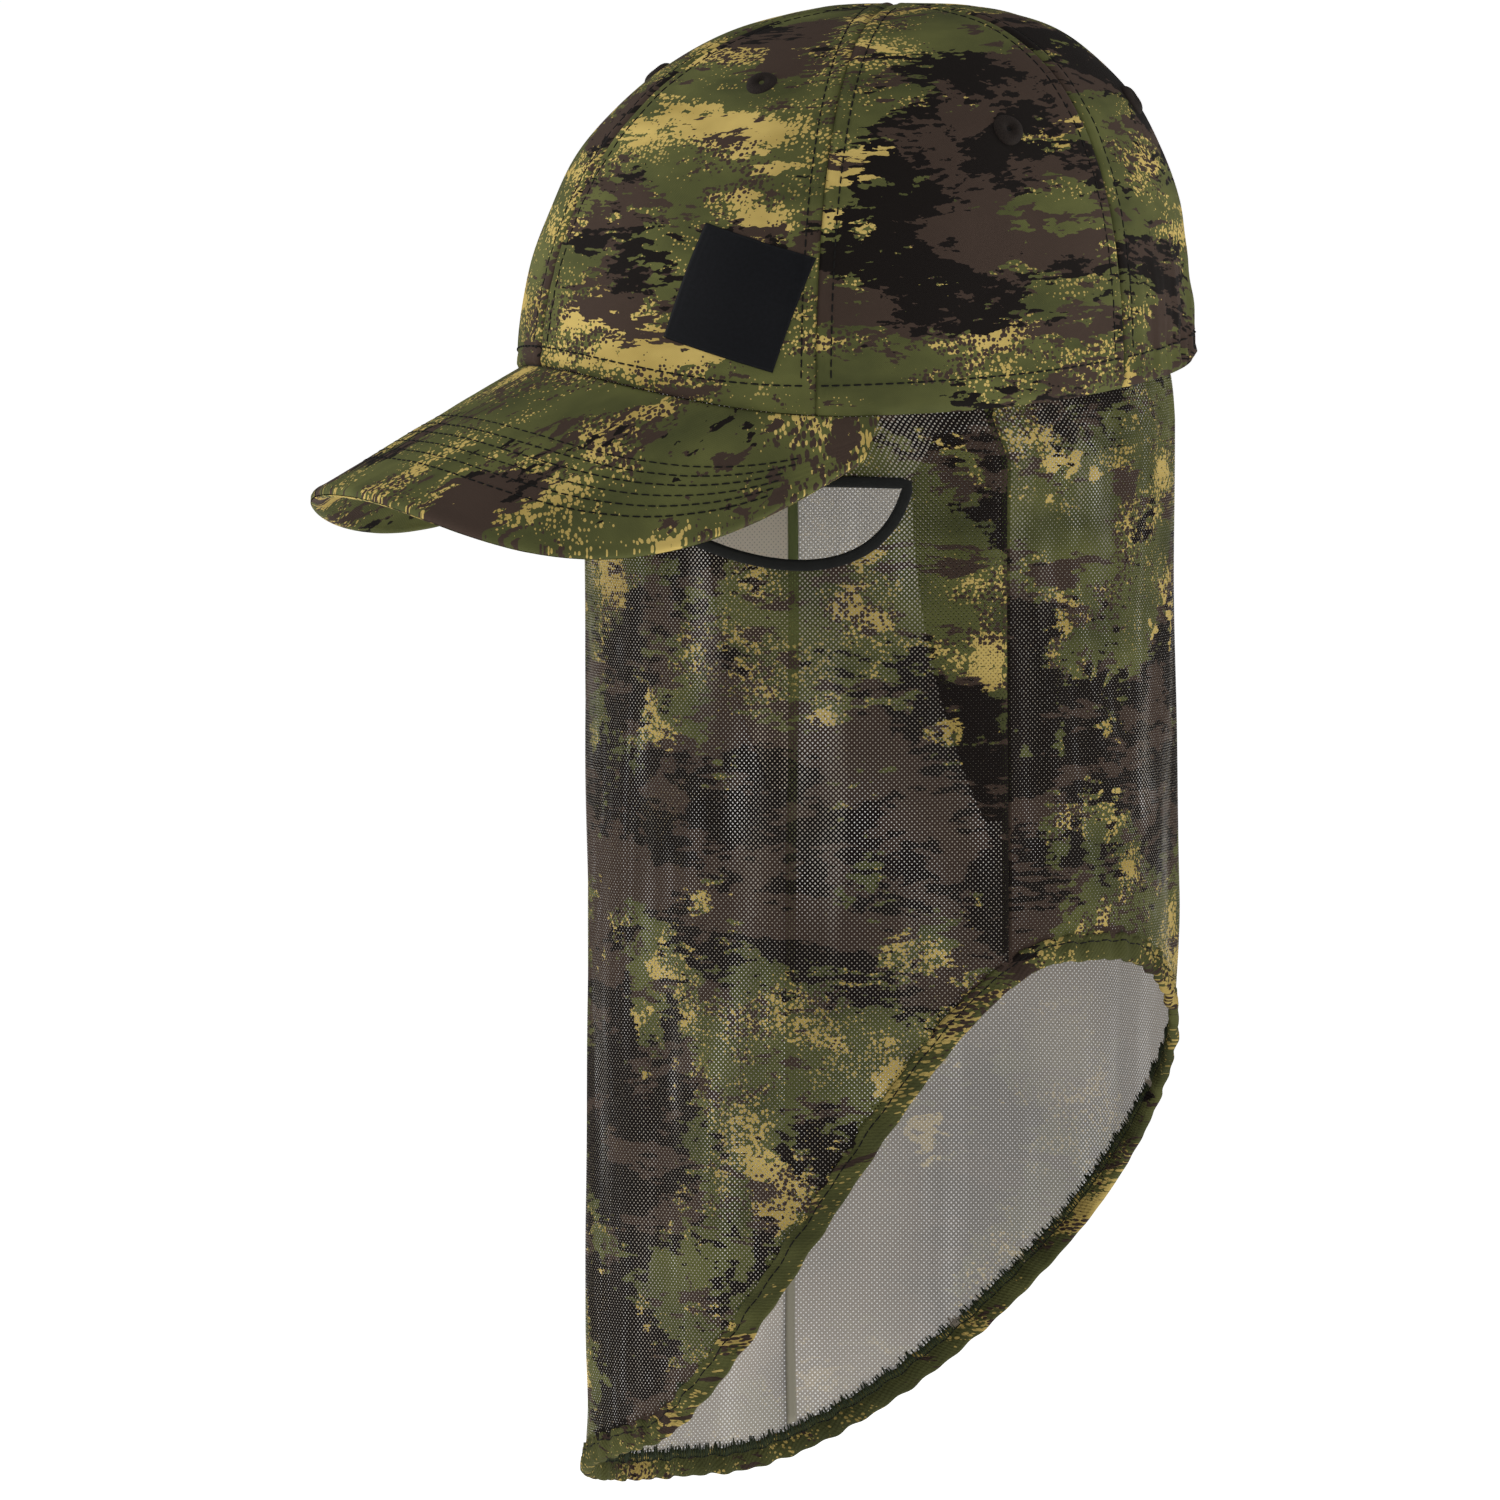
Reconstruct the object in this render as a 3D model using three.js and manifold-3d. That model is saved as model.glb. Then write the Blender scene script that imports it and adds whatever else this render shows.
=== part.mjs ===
// A six-panel cap with a camouflage face and neck net hanging from its headband.
// Millimetres. +Z is up, the brim points along -Y and the wearer's left is +X.
// The origin is the middle of the head opening, level with the lowest point of its edge.

import * as THREE from 'three';
import { mergeVertices } from 'three/addons/utils/BufferGeometryUtils.js';
import Module from 'manifold-3d';

const wasm = await Module();
wasm.setup();

// ---------------------------------------------------------------- sizes

const CLEARANCE = 0.3;
const ELASTIC_CLEARANCE = 0.39;

// The crown's outside, at the head opening and above it.
const CROWN_HALF_LENGTH = 100;
const CROWN_HALF_WIDTH = 80;
const CROWN_HEIGHT = 112;
const APEX_SHIFT = 12;
const EDGE_SADDLE = 12;
const EDGE_LOWEST_AT = 68;
const CROWN_TOP_RADIUS = 3;

// The seams, as the angle round from the front, on either side of the cap.
const SEAM_ANGLES = [0, 62, 121, 180];
const PANEL_THICKNESS = 1.0;
const PANEL_SEAM_GAP = 0.4;
const PANEL_ROWS = 11;

const LINING_THICKNESS = 0.6;
const LINING_EDGE_GAP = 1.5;
const TAPE_WIDTH = 16;
const TAPE_THICKNESS = 0.5;

const SWEATBAND_HEIGHT = 30;
const SWEATBAND_THICKNESS = 1.2;
const SWEATBAND_EDGE_RISE = 1;
const ELASTIC_HEIGHT = 14;
const ELASTIC_THICKNESS = 0.9;
const ELASTIC_END_ANGLE = 135;

const EYELET_RADIUS = 4.5;
const EYELET_HOLE_RADIUS = 1.2;
const EYELET_THICKNESS = 2.2;
const EYELET_PROUD = 0.6;
const EYELETS = [
  { panel: 'front', angle: 40, height: 92 },
  { panel: 'side', angle: 100, height: 79 },
  { panel: 'back', angle: 150, height: 85 },
];

const PATCH_SIZE = 34;
const PATCH_THICKNESS = 0.5;
const PATCH_ANGLE = 47.4;
const PATCH_HEIGHT = 33;
const PATCH_LEAN = 16.7;

// The brim: its plan outline is half of a squared-off ellipse.
const BRIM_END_ANGLE = 74;
const BRIM_ROOT_DROP = 0.5;
const BRIM_REACH = 61;
const BRIM_HALF_WIDTH = 79;
const BRIM_SQUARENESS = 2.7;
const BRIM_SLOPE = 0.554;
const BRIM_CURL = 60;
const BRIM_CURL_POWER = 2.6;
const BRIM_COVER_THICKNESS = 0.7;
const BRIM_BOARD_THICKNESS = 1.6;
const BRIM_BOARD_REACH = 0.93;
const BRIM_SPAN = 0.985;

// The net: an oval tube that hangs from the headband.
const NET_HALF_LENGTH = 87;
const NET_HALF_WIDTH = 70;
const NET_CENTRE_SHIFT = 7.9;
const NET_THICKNESS = 0.8;
const NET_FLARE_DROP = 20;
const NET_SEAM_ANGLE = 94;
const NET_SEAM_GAP = 1.6;
const NET_TAPE_WIDTH = 3.2;
const NET_TAPE_THICKNESS = 0.6;
// The hem hangs askew: highest behind the wearer's left ear and lowest at the right cheek.
const HEM_LOW = -312;
const HEM_HIGH = -157;
const HEM_HIGHEST_AT = 112;
const HEM_SLOPE_START = 5;
const HEM_SLOPE_FRONT = 95;
const HEM_TRAIL_END = 178;
const HEM_TRAIL_SHARE = 0.25;
const HEM_SLOPE_BACK = 170;

const TOP_BAND_HEIGHT = 8;
const TOP_BAND_THICKNESS = 0.8;
const TOP_BAND_RISE = 2;

const FACING_START_ANGLE = 78;
const FACING_TOP = -20;
const FACING_LENGTH = 95;

const HEM_WALL = 0.6;
const HEM_DEPTH = 9;
const HEM_ELASTIC_WIDTH = 1.4;
const HEM_ELASTIC_HEIGHT = 4.5;

// The eye opening's corners and its curved edges, as angle round and height.
const EYE_INNER_CORNER = new THREE.Vector2(13, -25);
const EYE_OUTER_CORNER = new THREE.Vector2(73, -21);
const EYE_TOP_BOW = new THREE.Vector2(35, -18.5);
const EYE_LOW_OUTER = new THREE.Vector2(67, -53);
const EYE_LOW_INNER = new THREE.Vector2(40, -43);
const BINDING_WIDTH = 3;
const BINDING_THICKNESS = 0.5;

// ---------------------------------------------------------------- small helpers

const radians = THREE.MathUtils.degToRad;
const { lerp, clamp, smoothstep } = THREE.MathUtils;

function range(from, to, steps) {
  return Array.from({ length: steps + 1 }, (_, i) => lerp(from, to, i / steps));
}

function material(color, roughness) {
  return new THREE.MeshStandardMaterial({ color, roughness, metalness: 0 });
}

// A geometry whose faces point outwards, from points and triangles of their indices.
function geometryFrom(points, triangles) {
  let volume = 0;
  for (let i = 0; i < triangles.length; i += 3) {
    const [a, b, c] = [0, 1, 2].map((k) => points[triangles[i + k]]);
    volume += a.dot(new THREE.Vector3().crossVectors(b, c));
  }
  const turned = volume < 0 ? [...triangles].reverse() : triangles;
  const geometry = new THREE.BufferGeometry().setFromPoints(points);
  geometry.setIndex(turned);
  geometry.computeVertexNormals();
  return geometry;
}

// A sheet of fabric as a closed solid. pointAt(u, v, depth) gives its outer face at depth 0
// and its inner face at depth 1. A ring's last u joins its first.
function sheetSolid(pointAt, us, vs, ring = false) {
  const columns = ring ? us.length - 1 : us.length;
  const points = [];
  for (const depth of [0, 1]) {
    for (let i = 0; i < columns; i++) {
      for (const v of vs) points.push(pointAt(us[i], v, depth));
    }
  }
  const rows = vs.length;
  const index = (depth, i, j) => (depth * columns + (i % columns)) * rows + j;
  const triangles = [];
  const quad = (a, b, c, d) => triangles.push(a, b, c, a, c, d);
  for (let i = 0; i < us.length - 1; i++) {
    for (let j = 0; j < rows - 1; j++) {
      quad(index(0, i, j), index(0, i + 1, j), index(0, i + 1, j + 1), index(0, i, j + 1));
      quad(index(1, i, j), index(1, i, j + 1), index(1, i + 1, j + 1), index(1, i + 1, j));
    }
    quad(index(0, i, 0), index(1, i, 0), index(1, i + 1, 0), index(0, i + 1, 0));
    quad(index(0, i, rows - 1), index(0, i + 1, rows - 1),
      index(1, i + 1, rows - 1), index(1, i, rows - 1));
  }
  if (!ring) {
    const last = us.length - 1;
    for (let j = 0; j < rows - 1; j++) {
      quad(index(0, 0, j), index(0, 0, j + 1), index(1, 0, j + 1), index(1, 0, j));
      quad(index(0, last, j), index(1, last, j), index(1, last, j + 1), index(0, last, j + 1));
    }
  }
  return geometryFrom(points, triangles);
}

// A closed band: one section, a list of [across, out] sizes, carried round a loop of stations.
function bandSolid(stations, section) {
  const points = [];
  for (const { origin, across, out } of stations) {
    for (const [a, o] of section) {
      points.push(origin.clone().addScaledVector(across, a).addScaledVector(out, o));
    }
  }
  const sides = section.length;
  const triangles = [];
  for (let i = 0; i < stations.length; i++) {
    const next = (i + 1) % stations.length;
    for (let k = 0; k < sides; k++) {
      const after = (k + 1) % sides;
      const [a, b] = [i * sides + k, i * sides + after];
      const [c, d] = [next * sides + after, next * sides + k];
      triangles.push(a, b, c, a, c, d);
    }
  }
  return geometryFrom(points, triangles);
}

function solidOf(geometry) {
  const bare = geometry.clone();
  bare.deleteAttribute('normal');
  bare.deleteAttribute('uv');
  const merged = mergeVertices(bare, 1e-4);
  return new wasm.Manifold(new wasm.Mesh({
    numProp: 3,
    vertProperties: new Float32Array(merged.attributes.position.array),
    triVerts: new Uint32Array(merged.index.array),
  }));
}

function cutAway(geometry, cutters) {
  let solid = solidOf(geometry);
  for (const cutter of cutters) solid = solid.subtract(solidOf(cutter));
  const mesh = solid.getMesh();
  const result = new THREE.BufferGeometry();
  result.setAttribute('position', new THREE.BufferAttribute(mesh.vertProperties, 3));
  result.setIndex(new THREE.BufferAttribute(mesh.triVerts, 1));
  result.computeVertexNormals();
  return result;
}

// The outward unit normal of surface(u, v), which runs round with u and up with v.
function normalOf(surface, u, v, stepU, stepV) {
  const alongU = surface(u + stepU, v).sub(surface(u - stepU, v));
  const alongV = surface(u, v + stepV).sub(surface(u, v - stepV));
  return alongU.cross(alongV).normalize();
}

// ---------------------------------------------------------------- the crown's surface

// The height of the head opening's edge: low over the ears, high at the front and back.
function edgeHeight(angle) {
  const round = Math.abs(((angle + 180) % 360 + 360) % 360 - 180);
  const share = round < EDGE_LOWEST_AT
    ? round / EDGE_LOWEST_AT
    : (180 - round) / (180 - EDGE_LOWEST_AT);
  return EDGE_SADDLE * (0.5 + 0.5 * Math.cos(Math.PI * share));
}

// How square the crown's profile is: the front is rounder than the back.
function profilePower(angle) {
  return 2.55 - 0.29 * Math.cos(radians(angle));
}

function crownAt(angle, height) {
  const power = profilePower(angle);
  const share = (1 - clamp(height / CROWN_HEIGHT, 0, 1) ** power) ** (1 / power);
  const x = CROWN_HALF_WIDTH * Math.sin(radians(angle)) * share;
  const foot = -CROWN_HALF_LENGTH * Math.cos(radians(angle));
  return new THREE.Vector3(x, lerp(APEX_SHIFT, foot, share), height);
}

// The height at share s of the way from the edge to the top, spaced evenly along the curve.
function crownHeight(angle, s) {
  const power = profilePower(angle);
  const low = Math.asin((edgeHeight(angle) / CROWN_HEIGHT) ** (power / 2));
  const high = Math.acos((CROWN_TOP_RADIUS / CROWN_HALF_WIDTH) ** (power / 2));
  return CROWN_HEIGHT * Math.sin(lerp(low, high, s)) ** (2 / power);
}

function crownNormal(angle, height) {
  return normalOf(crownAt, angle, clamp(height, 1, CROWN_HEIGHT - 1), 0.5, 0.4);
}

function crownInside(angle, height, inset) {
  return crownAt(angle, height).addScaledVector(crownNormal(angle, height), -inset);
}

// The angle that covers a length at a place on the crown, to keep seam gaps the same width.
function angleFor(length, angle, height) {
  const stride = crownAt(angle + 0.5, height).distanceTo(crownAt(angle - 0.5, height));
  return length / stride;
}

// ---------------------------------------------------------------- crown pieces

const liningInset = PANEL_THICKNESS + CLEARANCE;
const frontTapeInset = liningInset + LINING_THICKNESS + CLEARANCE;
const elasticInset = liningInset + TAPE_THICKNESS + ELASTIC_CLEARANCE;
const sweatbandInset = elasticInset + ELASTIC_THICKNESS + CLEARANCE;
const topBandInset = sweatbandInset + SWEATBAND_THICKNESS + CLEARANCE;
const netTopInset = topBandInset + TOP_BAND_THICKNESS + CLEARANCE;

const group = new THREE.Group();

function add(name, geometry, look) {
  const mesh = new THREE.Mesh(geometry, look);
  mesh.name = name;
  group.add(mesh);
}

// A wedge of the crown between two seams, from the edge to the top.
function crownWedge(from, to, inset, thickness, sideGap, rise = 0) {
  const pointAt = (share, s, depth) => {
    const middle = lerp(from, to, share);
    const height = Math.max(crownHeight(middle, s), edgeHeight(middle) + rise);
    const gap = angleFor(sideGap, middle, height) * Math.sign(to - from);
    const angle = lerp(from + gap, to - gap, share);
    return crownInside(angle, height, inset + depth * thickness);
  };
  return sheetSolid(pointAt, range(0, 1, 9), range(0, 1, PANEL_ROWS));
}

function eyeletPlace(angle, height) {
  const out = crownNormal(angle, height);
  const turn = new THREE.Quaternion().setFromUnitVectors(new THREE.Vector3(0, 1, 0), out);
  return new THREE.Matrix4().compose(
    crownAt(angle, height), turn, new THREE.Vector3(1, 1, 1));
}

function eyeletCutter(angle, height) {
  const radius = EYELET_RADIUS + CLEARANCE;
  const cylinder = new THREE.CylinderGeometry(radius, radius, 12, 16);
  return cylinder.applyMatrix4(eyeletPlace(angle, height));
}

// A stitched ring with a rounded top, set through its panel.
function eyeletRing(angle, height) {
  const middle = (EYELET_RADIUS + EYELET_HOLE_RADIUS) / 2;
  const low = EYELET_PROUD - EYELET_THICKNESS;
  const outline = [
    [EYELET_HOLE_RADIUS, low],
    [EYELET_RADIUS, low],
    [EYELET_RADIUS, EYELET_PROUD * 0.5],
    [middle, EYELET_PROUD],
    [EYELET_HOLE_RADIUS, EYELET_PROUD * 0.5],
    [EYELET_HOLE_RADIUS, low],
  ];
  const profile = outline.map(([radius, y]) => new THREE.Vector2(radius, y));
  return new THREE.LatheGeometry(profile, 16).applyMatrix4(eyeletPlace(angle, height));
}

const panelLook = { front: '#56592f', side: '#4b4a2c', back: '#524f30' };
const sides = { left: 1, right: -1 };

for (const [side, sign] of Object.entries(sides)) {
  EYELETS.forEach(({ panel, angle, height }, i) => {
    const [from, to] = [sign * SEAM_ANGLES[i], sign * SEAM_ANGLES[i + 1]];
    const cutter = eyeletCutter(sign * angle, height);
    const skin = crownWedge(from, to, 0, PANEL_THICKNESS, PANEL_SEAM_GAP / 2);
    add(`crown_${panel}_${side}`, cutAway(skin, [cutter]), material(panelLook[panel], 0.85));
    const ring = eyeletRing(sign * angle, height);
    add(`eyelet_${panel}_${side}`, ring, material('#2b221c', 0.7));
    if (panel === 'front') {
      const lining = crownWedge(from, to, liningInset, LINING_THICKNESS, LINING_EDGE_GAP);
      add(`front_lining_${side}`, cutAway(lining, [cutter]), material('#2a2a26', 0.9));
    }
  });
}

// Seam tapes run up the inside of each seam and narrow where they meet at the top.
function seamTape(seam, inset) {
  const pointAt = (share, s, depth) => {
    const height = crownHeight(seam, s);
    const reach = Math.hypot(crownAt(seam, height).x, crownAt(seam, height).y - APEX_SHIFT);
    const half = Math.min(TAPE_WIDTH / 2, reach * 0.4);
    const angle = seam + share * angleFor(half, seam, height);
    return crownInside(angle, height, inset + depth * TAPE_THICKNESS);
  };
  return sheetSolid(pointAt, [-1, 0, 1], range(0, 0.97, PANEL_ROWS));
}

const tapes = {
  front: [SEAM_ANGLES[0], frontTapeInset],
  front_left: [SEAM_ANGLES[1], frontTapeInset],
  front_right: [-SEAM_ANGLES[1], frontTapeInset],
  back_left: [SEAM_ANGLES[2], liningInset],
  back_right: [-SEAM_ANGLES[2], liningInset],
  back: [SEAM_ANGLES[3], liningInset],
};
for (const [place, [seam, inset]] of Object.entries(tapes)) {
  add(`seam_tape_${place}`, seamTape(seam, inset), material('#1d1d1b', 0.8));
}

// A band inside the head opening, that follows its edge.
function innerBand(from, to, steps, inset, thickness, rise, height) {
  const pointAt = (angle, share, depth) => {
    const level = edgeHeight(angle) + rise + share * height;
    return crownInside(angle, level, inset + depth * thickness);
  };
  const whole = to - from === 360;
  return sheetSolid(pointAt, range(from, to, steps), range(0, 1, height > 20 ? 3 : 1), whole);
}

add('sweatband',
  innerBand(0, 360, 60, sweatbandInset, SWEATBAND_THICKNESS, SWEATBAND_EDGE_RISE,
    SWEATBAND_HEIGHT),
  material('#24241f', 0.9));
add('back_elastic',
  innerBand(ELASTIC_END_ANGLE, 360 - ELASTIC_END_ANGLE, 15, elasticInset, ELASTIC_THICKNESS,
    SWEATBAND_EDGE_RISE, ELASTIC_HEIGHT),
  material('#161616', 0.8));

// The square patch on the left front panel, turned to follow the panel's lean.
function frontPatch() {
  const lean = radians(PATCH_LEAN);
  const rise = crownAt(PATCH_ANGLE, PATCH_HEIGHT + 1).distanceTo(
    crownAt(PATCH_ANGLE, PATCH_HEIGHT - 1)) / 2;
  const pointAt = (a, b, depth) => {
    const level = PATCH_HEIGHT + (b * Math.cos(lean) - a * Math.sin(lean)) / rise;
    const along = a * Math.cos(lean) + b * Math.sin(lean);
    const angle = PATCH_ANGLE + angleFor(along, PATCH_ANGLE, level);
    return crownInside(angle, level, -CLEARANCE - (1 - depth) * PATCH_THICKNESS);
  };
  const half = PATCH_SIZE / 2;
  return sheetSolid(pointAt, range(-half, half, 5), range(-half, half, 5));
}
add('front_patch', frontPatch(), material('#0d0d0f', 0.6));

// ---------------------------------------------------------------- the brim

const brimRootY = -CROWN_HALF_LENGTH * Math.cos(radians(BRIM_END_ANGLE));
const brimDepth = CROWN_HALF_LENGTH + BRIM_REACH + brimRootY;

function brimFreeHeight(x, y) {
  const slope = EDGE_SADDLE + BRIM_SLOPE * (y + CROWN_HALF_LENGTH);
  return slope - BRIM_CURL * Math.abs(x / BRIM_HALF_WIDTH) ** BRIM_CURL_POWER;
}

// The brim's top face. u runs from -1 to 1 across, and v from 0 at the crown to 1 at the edge.
function brimTop(u, v) {
  const rootAngle = u * BRIM_END_ANGLE;
  const root = crownInside(rootAngle, edgeHeight(rootAngle), PANEL_THICKNESS / 2);
  const sweep = radians(90) * u;
  const power = 2 / BRIM_SQUARENESS;
  const edgeX = Math.sign(u) * BRIM_HALF_WIDTH * Math.abs(Math.sin(sweep)) ** power;
  const edgeY = brimRootY - brimDepth * Math.max(Math.cos(sweep), 0) ** power;
  const x = lerp(root.x, edgeX, v);
  const y = lerp(root.y, edgeY, v);
  const atRoot = edgeHeight(rootAngle) - BRIM_ROOT_DROP - brimFreeHeight(root.x, root.y);
  return new THREE.Vector3(x, y, brimFreeHeight(x, y) + (1 - v) * atRoot);
}

function brimLayer(low, high, whole, turnIn) {
  const pointAt = (u, v, depth) => {
    const down = normalOf(brimTop, u, clamp(v, 0.01, 0.99), 0.01, 0.01);
    if (down.z > 0) down.negate();
    const edge = smoothstep(v, BRIM_BOARD_REACH + 0.01, 1) * turnIn;
    return brimTop(u, v).addScaledVector(down, lerp(low, high, depth) - edge);
  };
  const across = range(-BRIM_SPAN, BRIM_SPAN, 22);
  const out = range(0, BRIM_BOARD_REACH, 3);
  return whole
    ? sheetSolid(pointAt, across, [...out, 1])
    : sheetSolid(pointAt, across.slice(1, -1), out);
}

const boardDepth = BRIM_COVER_THICKNESS + CLEARANCE;
const underDepth = boardDepth + BRIM_BOARD_THICKNESS + CLEARANCE;
add('brim_top_cover', brimLayer(0, BRIM_COVER_THICKNESS, true, 0), material('#4d4a2d', 0.85));
add('brim_board',
  brimLayer(boardDepth, boardDepth + BRIM_BOARD_THICKNESS, false, 0),
  material('#202020', 0.6));
add('brim_under_cover',
  brimLayer(underDepth, underDepth + BRIM_COVER_THICKNESS, true, BRIM_BOARD_THICKNESS),
  material('#45432a', 0.85));

// ---------------------------------------------------------------- the net's surface

function netTopHeight(angle) {
  return edgeHeight(angle) + TOP_BAND_RISE + TOP_BAND_HEIGHT;
}

function hemHeight(angle) {
  const past = ((angle - HEM_HIGHEST_AT + 180) % 360 + 360) % 360 - 180;
  const away = Math.abs(past);
  const trail = smoothstep(away, HEM_SLOPE_START, HEM_TRAIL_END);
  const fall = past < 0
    ? lerp(smoothstep(away, HEM_SLOPE_START, HEM_SLOPE_FRONT), trail, HEM_TRAIL_SHARE)
    : smoothstep(away, HEM_SLOPE_START, HEM_SLOPE_BACK);
  return lerp(HEM_HIGH, HEM_LOW, fall);
}

// The net's outer face: inside the headband at the top, then a straight oval tube.
function netAt(angle, height) {
  const tube = new THREE.Vector3(
    NET_HALF_WIDTH * Math.sin(radians(angle)),
    NET_CENTRE_SHIFT - NET_HALF_LENGTH * Math.cos(radians(angle)),
    height);
  const bandFoot = edgeHeight(angle) + TOP_BAND_RISE;
  const free = 1 - smoothstep(height, bandFoot - NET_FLARE_DROP, bandFoot);
  const band = crownInside(angle, Math.max(height, bandFoot), netTopInset);
  band.z = height;
  return band.lerp(tube, free);
}

function netNormal(angle, height) {
  return normalOf(netAt, angle, height, 0.5, 0.5).setZ(0).normalize();
}

function netInside(angle, height, inset) {
  return netAt(angle, height).addScaledVector(netNormal(angle, height), -inset);
}

// The height of a line that stays one distance above the hem, measured square to it.
function aboveHem(angle, distance) {
  const stride = netAt(angle + 1, -200).distanceTo(netAt(angle - 1, -200));
  const slope = (hemHeight(angle + 1) - hemHeight(angle - 1)) / stride;
  return hemHeight(angle) + distance * Math.hypot(1, slope);
}

const netFoot = HEM_WALL + HEM_ELASTIC_HEIGHT + 3 * CLEARANCE;

// A stretch of the net: its rows are close together where it flares, and sparse below.
function netStretch(from, to, columns, inset, thickness, foot) {
  const pointAt = (angle, share, depth) => {
    const top = edgeHeight(angle) + TOP_BAND_RISE;
    const flareEnd = top - NET_FLARE_DROP;
    const levels = [netTopHeight(angle), top];
    const height = share <= 1
      ? lerp(levels[0], levels[1], share)
      : share <= 2
        ? lerp(top, flareEnd, share - 1)
        : lerp(flareEnd, aboveHem(angle, foot), share - 2);
    return netInside(angle, height, inset + depth * thickness);
  };
  const rows = [0, ...range(1, 2, 5), ...range(2, 3, 4).slice(1)];
  return sheetSolid(pointAt, range(from, to, columns), rows);
}

// ---------------------------------------------------------------- eye openings

// Points round the eye opening, as angle and height, for the wearer's left eye.
function eyeOutline() {
  const top = new THREE.QuadraticBezierCurve(EYE_INNER_CORNER, EYE_TOP_BOW, EYE_OUTER_CORNER);
  const low = new THREE.CubicBezierCurve(
    EYE_OUTER_CORNER, EYE_LOW_OUTER, EYE_LOW_INNER, EYE_INNER_CORNER);
  const clockwise = [...top.getPoints(12).slice(0, -1), ...low.getPoints(16).slice(0, -1)];
  return clockwise.reverse();
}

// Places round the opening's edge, with the way off it along the net, and the way out.
function eyeStations(sign) {
  const outline = eyeOutline().map(({ x, y }) => ({
    origin: netAt(sign * x, y),
    out: netNormal(sign * x, y),
  }));
  const count = outline.length;
  return outline.map(({ origin, out }, i) => {
    const before = outline[(i + count - 1) % count].origin;
    const after = outline[(i + 1) % count].origin;
    const along = after.clone().sub(before).normalize();
    const across = new THREE.Vector3().crossVectors(along, out).multiplyScalar(sign);
    return { origin, out, across: across.normalize() };
  });
}

// A plug the shape of the opening, through the net, a clearance wider than its edge.
function eyeCutter(sign) {
  const reach = 5;
  const rims = eyeStations(sign).map(({ origin, out, across }) => {
    const edge = origin.clone().addScaledVector(across, CLEARANCE);
    const outside = edge.clone().addScaledVector(out, reach);
    return [outside, edge.addScaledVector(out, -reach)];
  });
  const points = [...rims.map((rim) => rim[0]), ...rims.map((rim) => rim[1])];
  const count = rims.length;
  const faces = THREE.ShapeUtils.triangulateShape(eyeOutline(), []);
  const triangles = [];
  for (const [a, b, c] of faces) {
    triangles.push(a, b, c, a + count, c + count, b + count);
  }
  for (let i = 0; i < count; i++) {
    const next = (i + 1) % count;
    triangles.push(i, i + count, next + count, i, next + count, next);
  }
  return geometryFrom(points, triangles);
}

// The binding folds over the opening's edge: a leaf outside the net and one inside.
function eyeBinding(sign) {
  const lap = BINDING_WIDTH - BINDING_THICKNESS;
  const outer = CLEARANCE + BINDING_THICKNESS;
  const inner = -NET_THICKNESS - CLEARANCE - BINDING_THICKNESS;
  return bandSolid(eyeStations(sign), [
    [-BINDING_THICKNESS, outer],
    [lap, outer],
    [lap, CLEARANCE],
    [0, CLEARANCE],
    [0, -NET_THICKNESS - CLEARANCE],
    [lap, -NET_THICKNESS - CLEARANCE],
    [lap, inner],
    [-BINDING_THICKNESS, inner],
  ]);
}

// ---------------------------------------------------------------- net pieces

const seamHalf = NET_SEAM_GAP / 2 / (Math.PI / 180 * NET_HALF_LENGTH);
const faceEnd = NET_SEAM_ANGLE - seamHalf;
const neckStart = NET_SEAM_ANGLE + seamHalf;

add('net_face_panel',
  cutAway(netStretch(-faceEnd, faceEnd, 34, 0, NET_THICKNESS, netFoot),
    Object.values(sides).map(eyeCutter)),
  material('#4d4c3a', 0.9));
add('net_neck_panel',
  netStretch(neckStart, 360 - neckStart, 30, 0, NET_THICKNESS, netFoot),
  material('#504e37', 0.9));

const tapeInset = NET_THICKNESS + CLEARANCE;
const tapeHalf = NET_TAPE_WIDTH / 2 / (Math.PI / 180 * NET_HALF_LENGTH);
const tapeFoot = HEM_DEPTH + 1;
const facingEnd = NET_SEAM_ANGLE - tapeHalf - 1;

// A second layer of net inside the face panel, beside each side seam, narrowing to its foot.
function sideFacing(sign) {
  const pointAt = (share, level, depth) => {
    const height = FACING_TOP - level * FACING_LENGTH;
    const start = lerp(FACING_START_ANGLE, facingEnd - 4, level ** 2.2);
    return netInside(sign * lerp(start, facingEnd, share), height,
      tapeInset + depth * NET_THICKNESS);
  };
  return sheetSolid(pointAt, range(0, 1, 4), [...range(0, 0.25, 3), ...range(0.5, 1, 2)]);
}

for (const [side, sign] of Object.entries(sides)) {
  const [from, to] = [sign * (NET_SEAM_ANGLE - tapeHalf), sign * (NET_SEAM_ANGLE + tapeHalf)];
  add(`net_seam_tape_${side}`,
    netStretch(from, to, 1, tapeInset, NET_TAPE_THICKNESS, tapeFoot),
    material('#4a5a2c', 0.85));
  add(`net_side_facing_${side}`, sideFacing(sign), material('#3b3a30', 0.9));
  add(`eye_binding_${side}`, eyeBinding(sign), material('#0b0b0b', 0.75));
}

add('net_top_band',
  innerBand(0, 360, 60, topBandInset, TOP_BAND_THICKNESS, TOP_BAND_RISE, TOP_BAND_HEIGHT),
  material('#1b1b1a', 0.8));

// Places round the hem, with the way up the net and the way out.
function hemStations(count) {
  const places = range(0, 360, count).slice(0, -1).map((angle) => ({
    origin: netAt(angle, hemHeight(angle)),
    out: netNormal(angle, hemHeight(angle)),
  }));
  return places.map(({ origin, out }, i) => {
    const before = places[(i + count - 1) % count].origin;
    const after = places[(i + 1) % count].origin;
    const along = after.clone().sub(before).normalize();
    const across = new THREE.Vector3().crossVectors(out, along).normalize();
    if (across.z < 0) across.negate();
    return { origin, out, across };
  });
}

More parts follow.
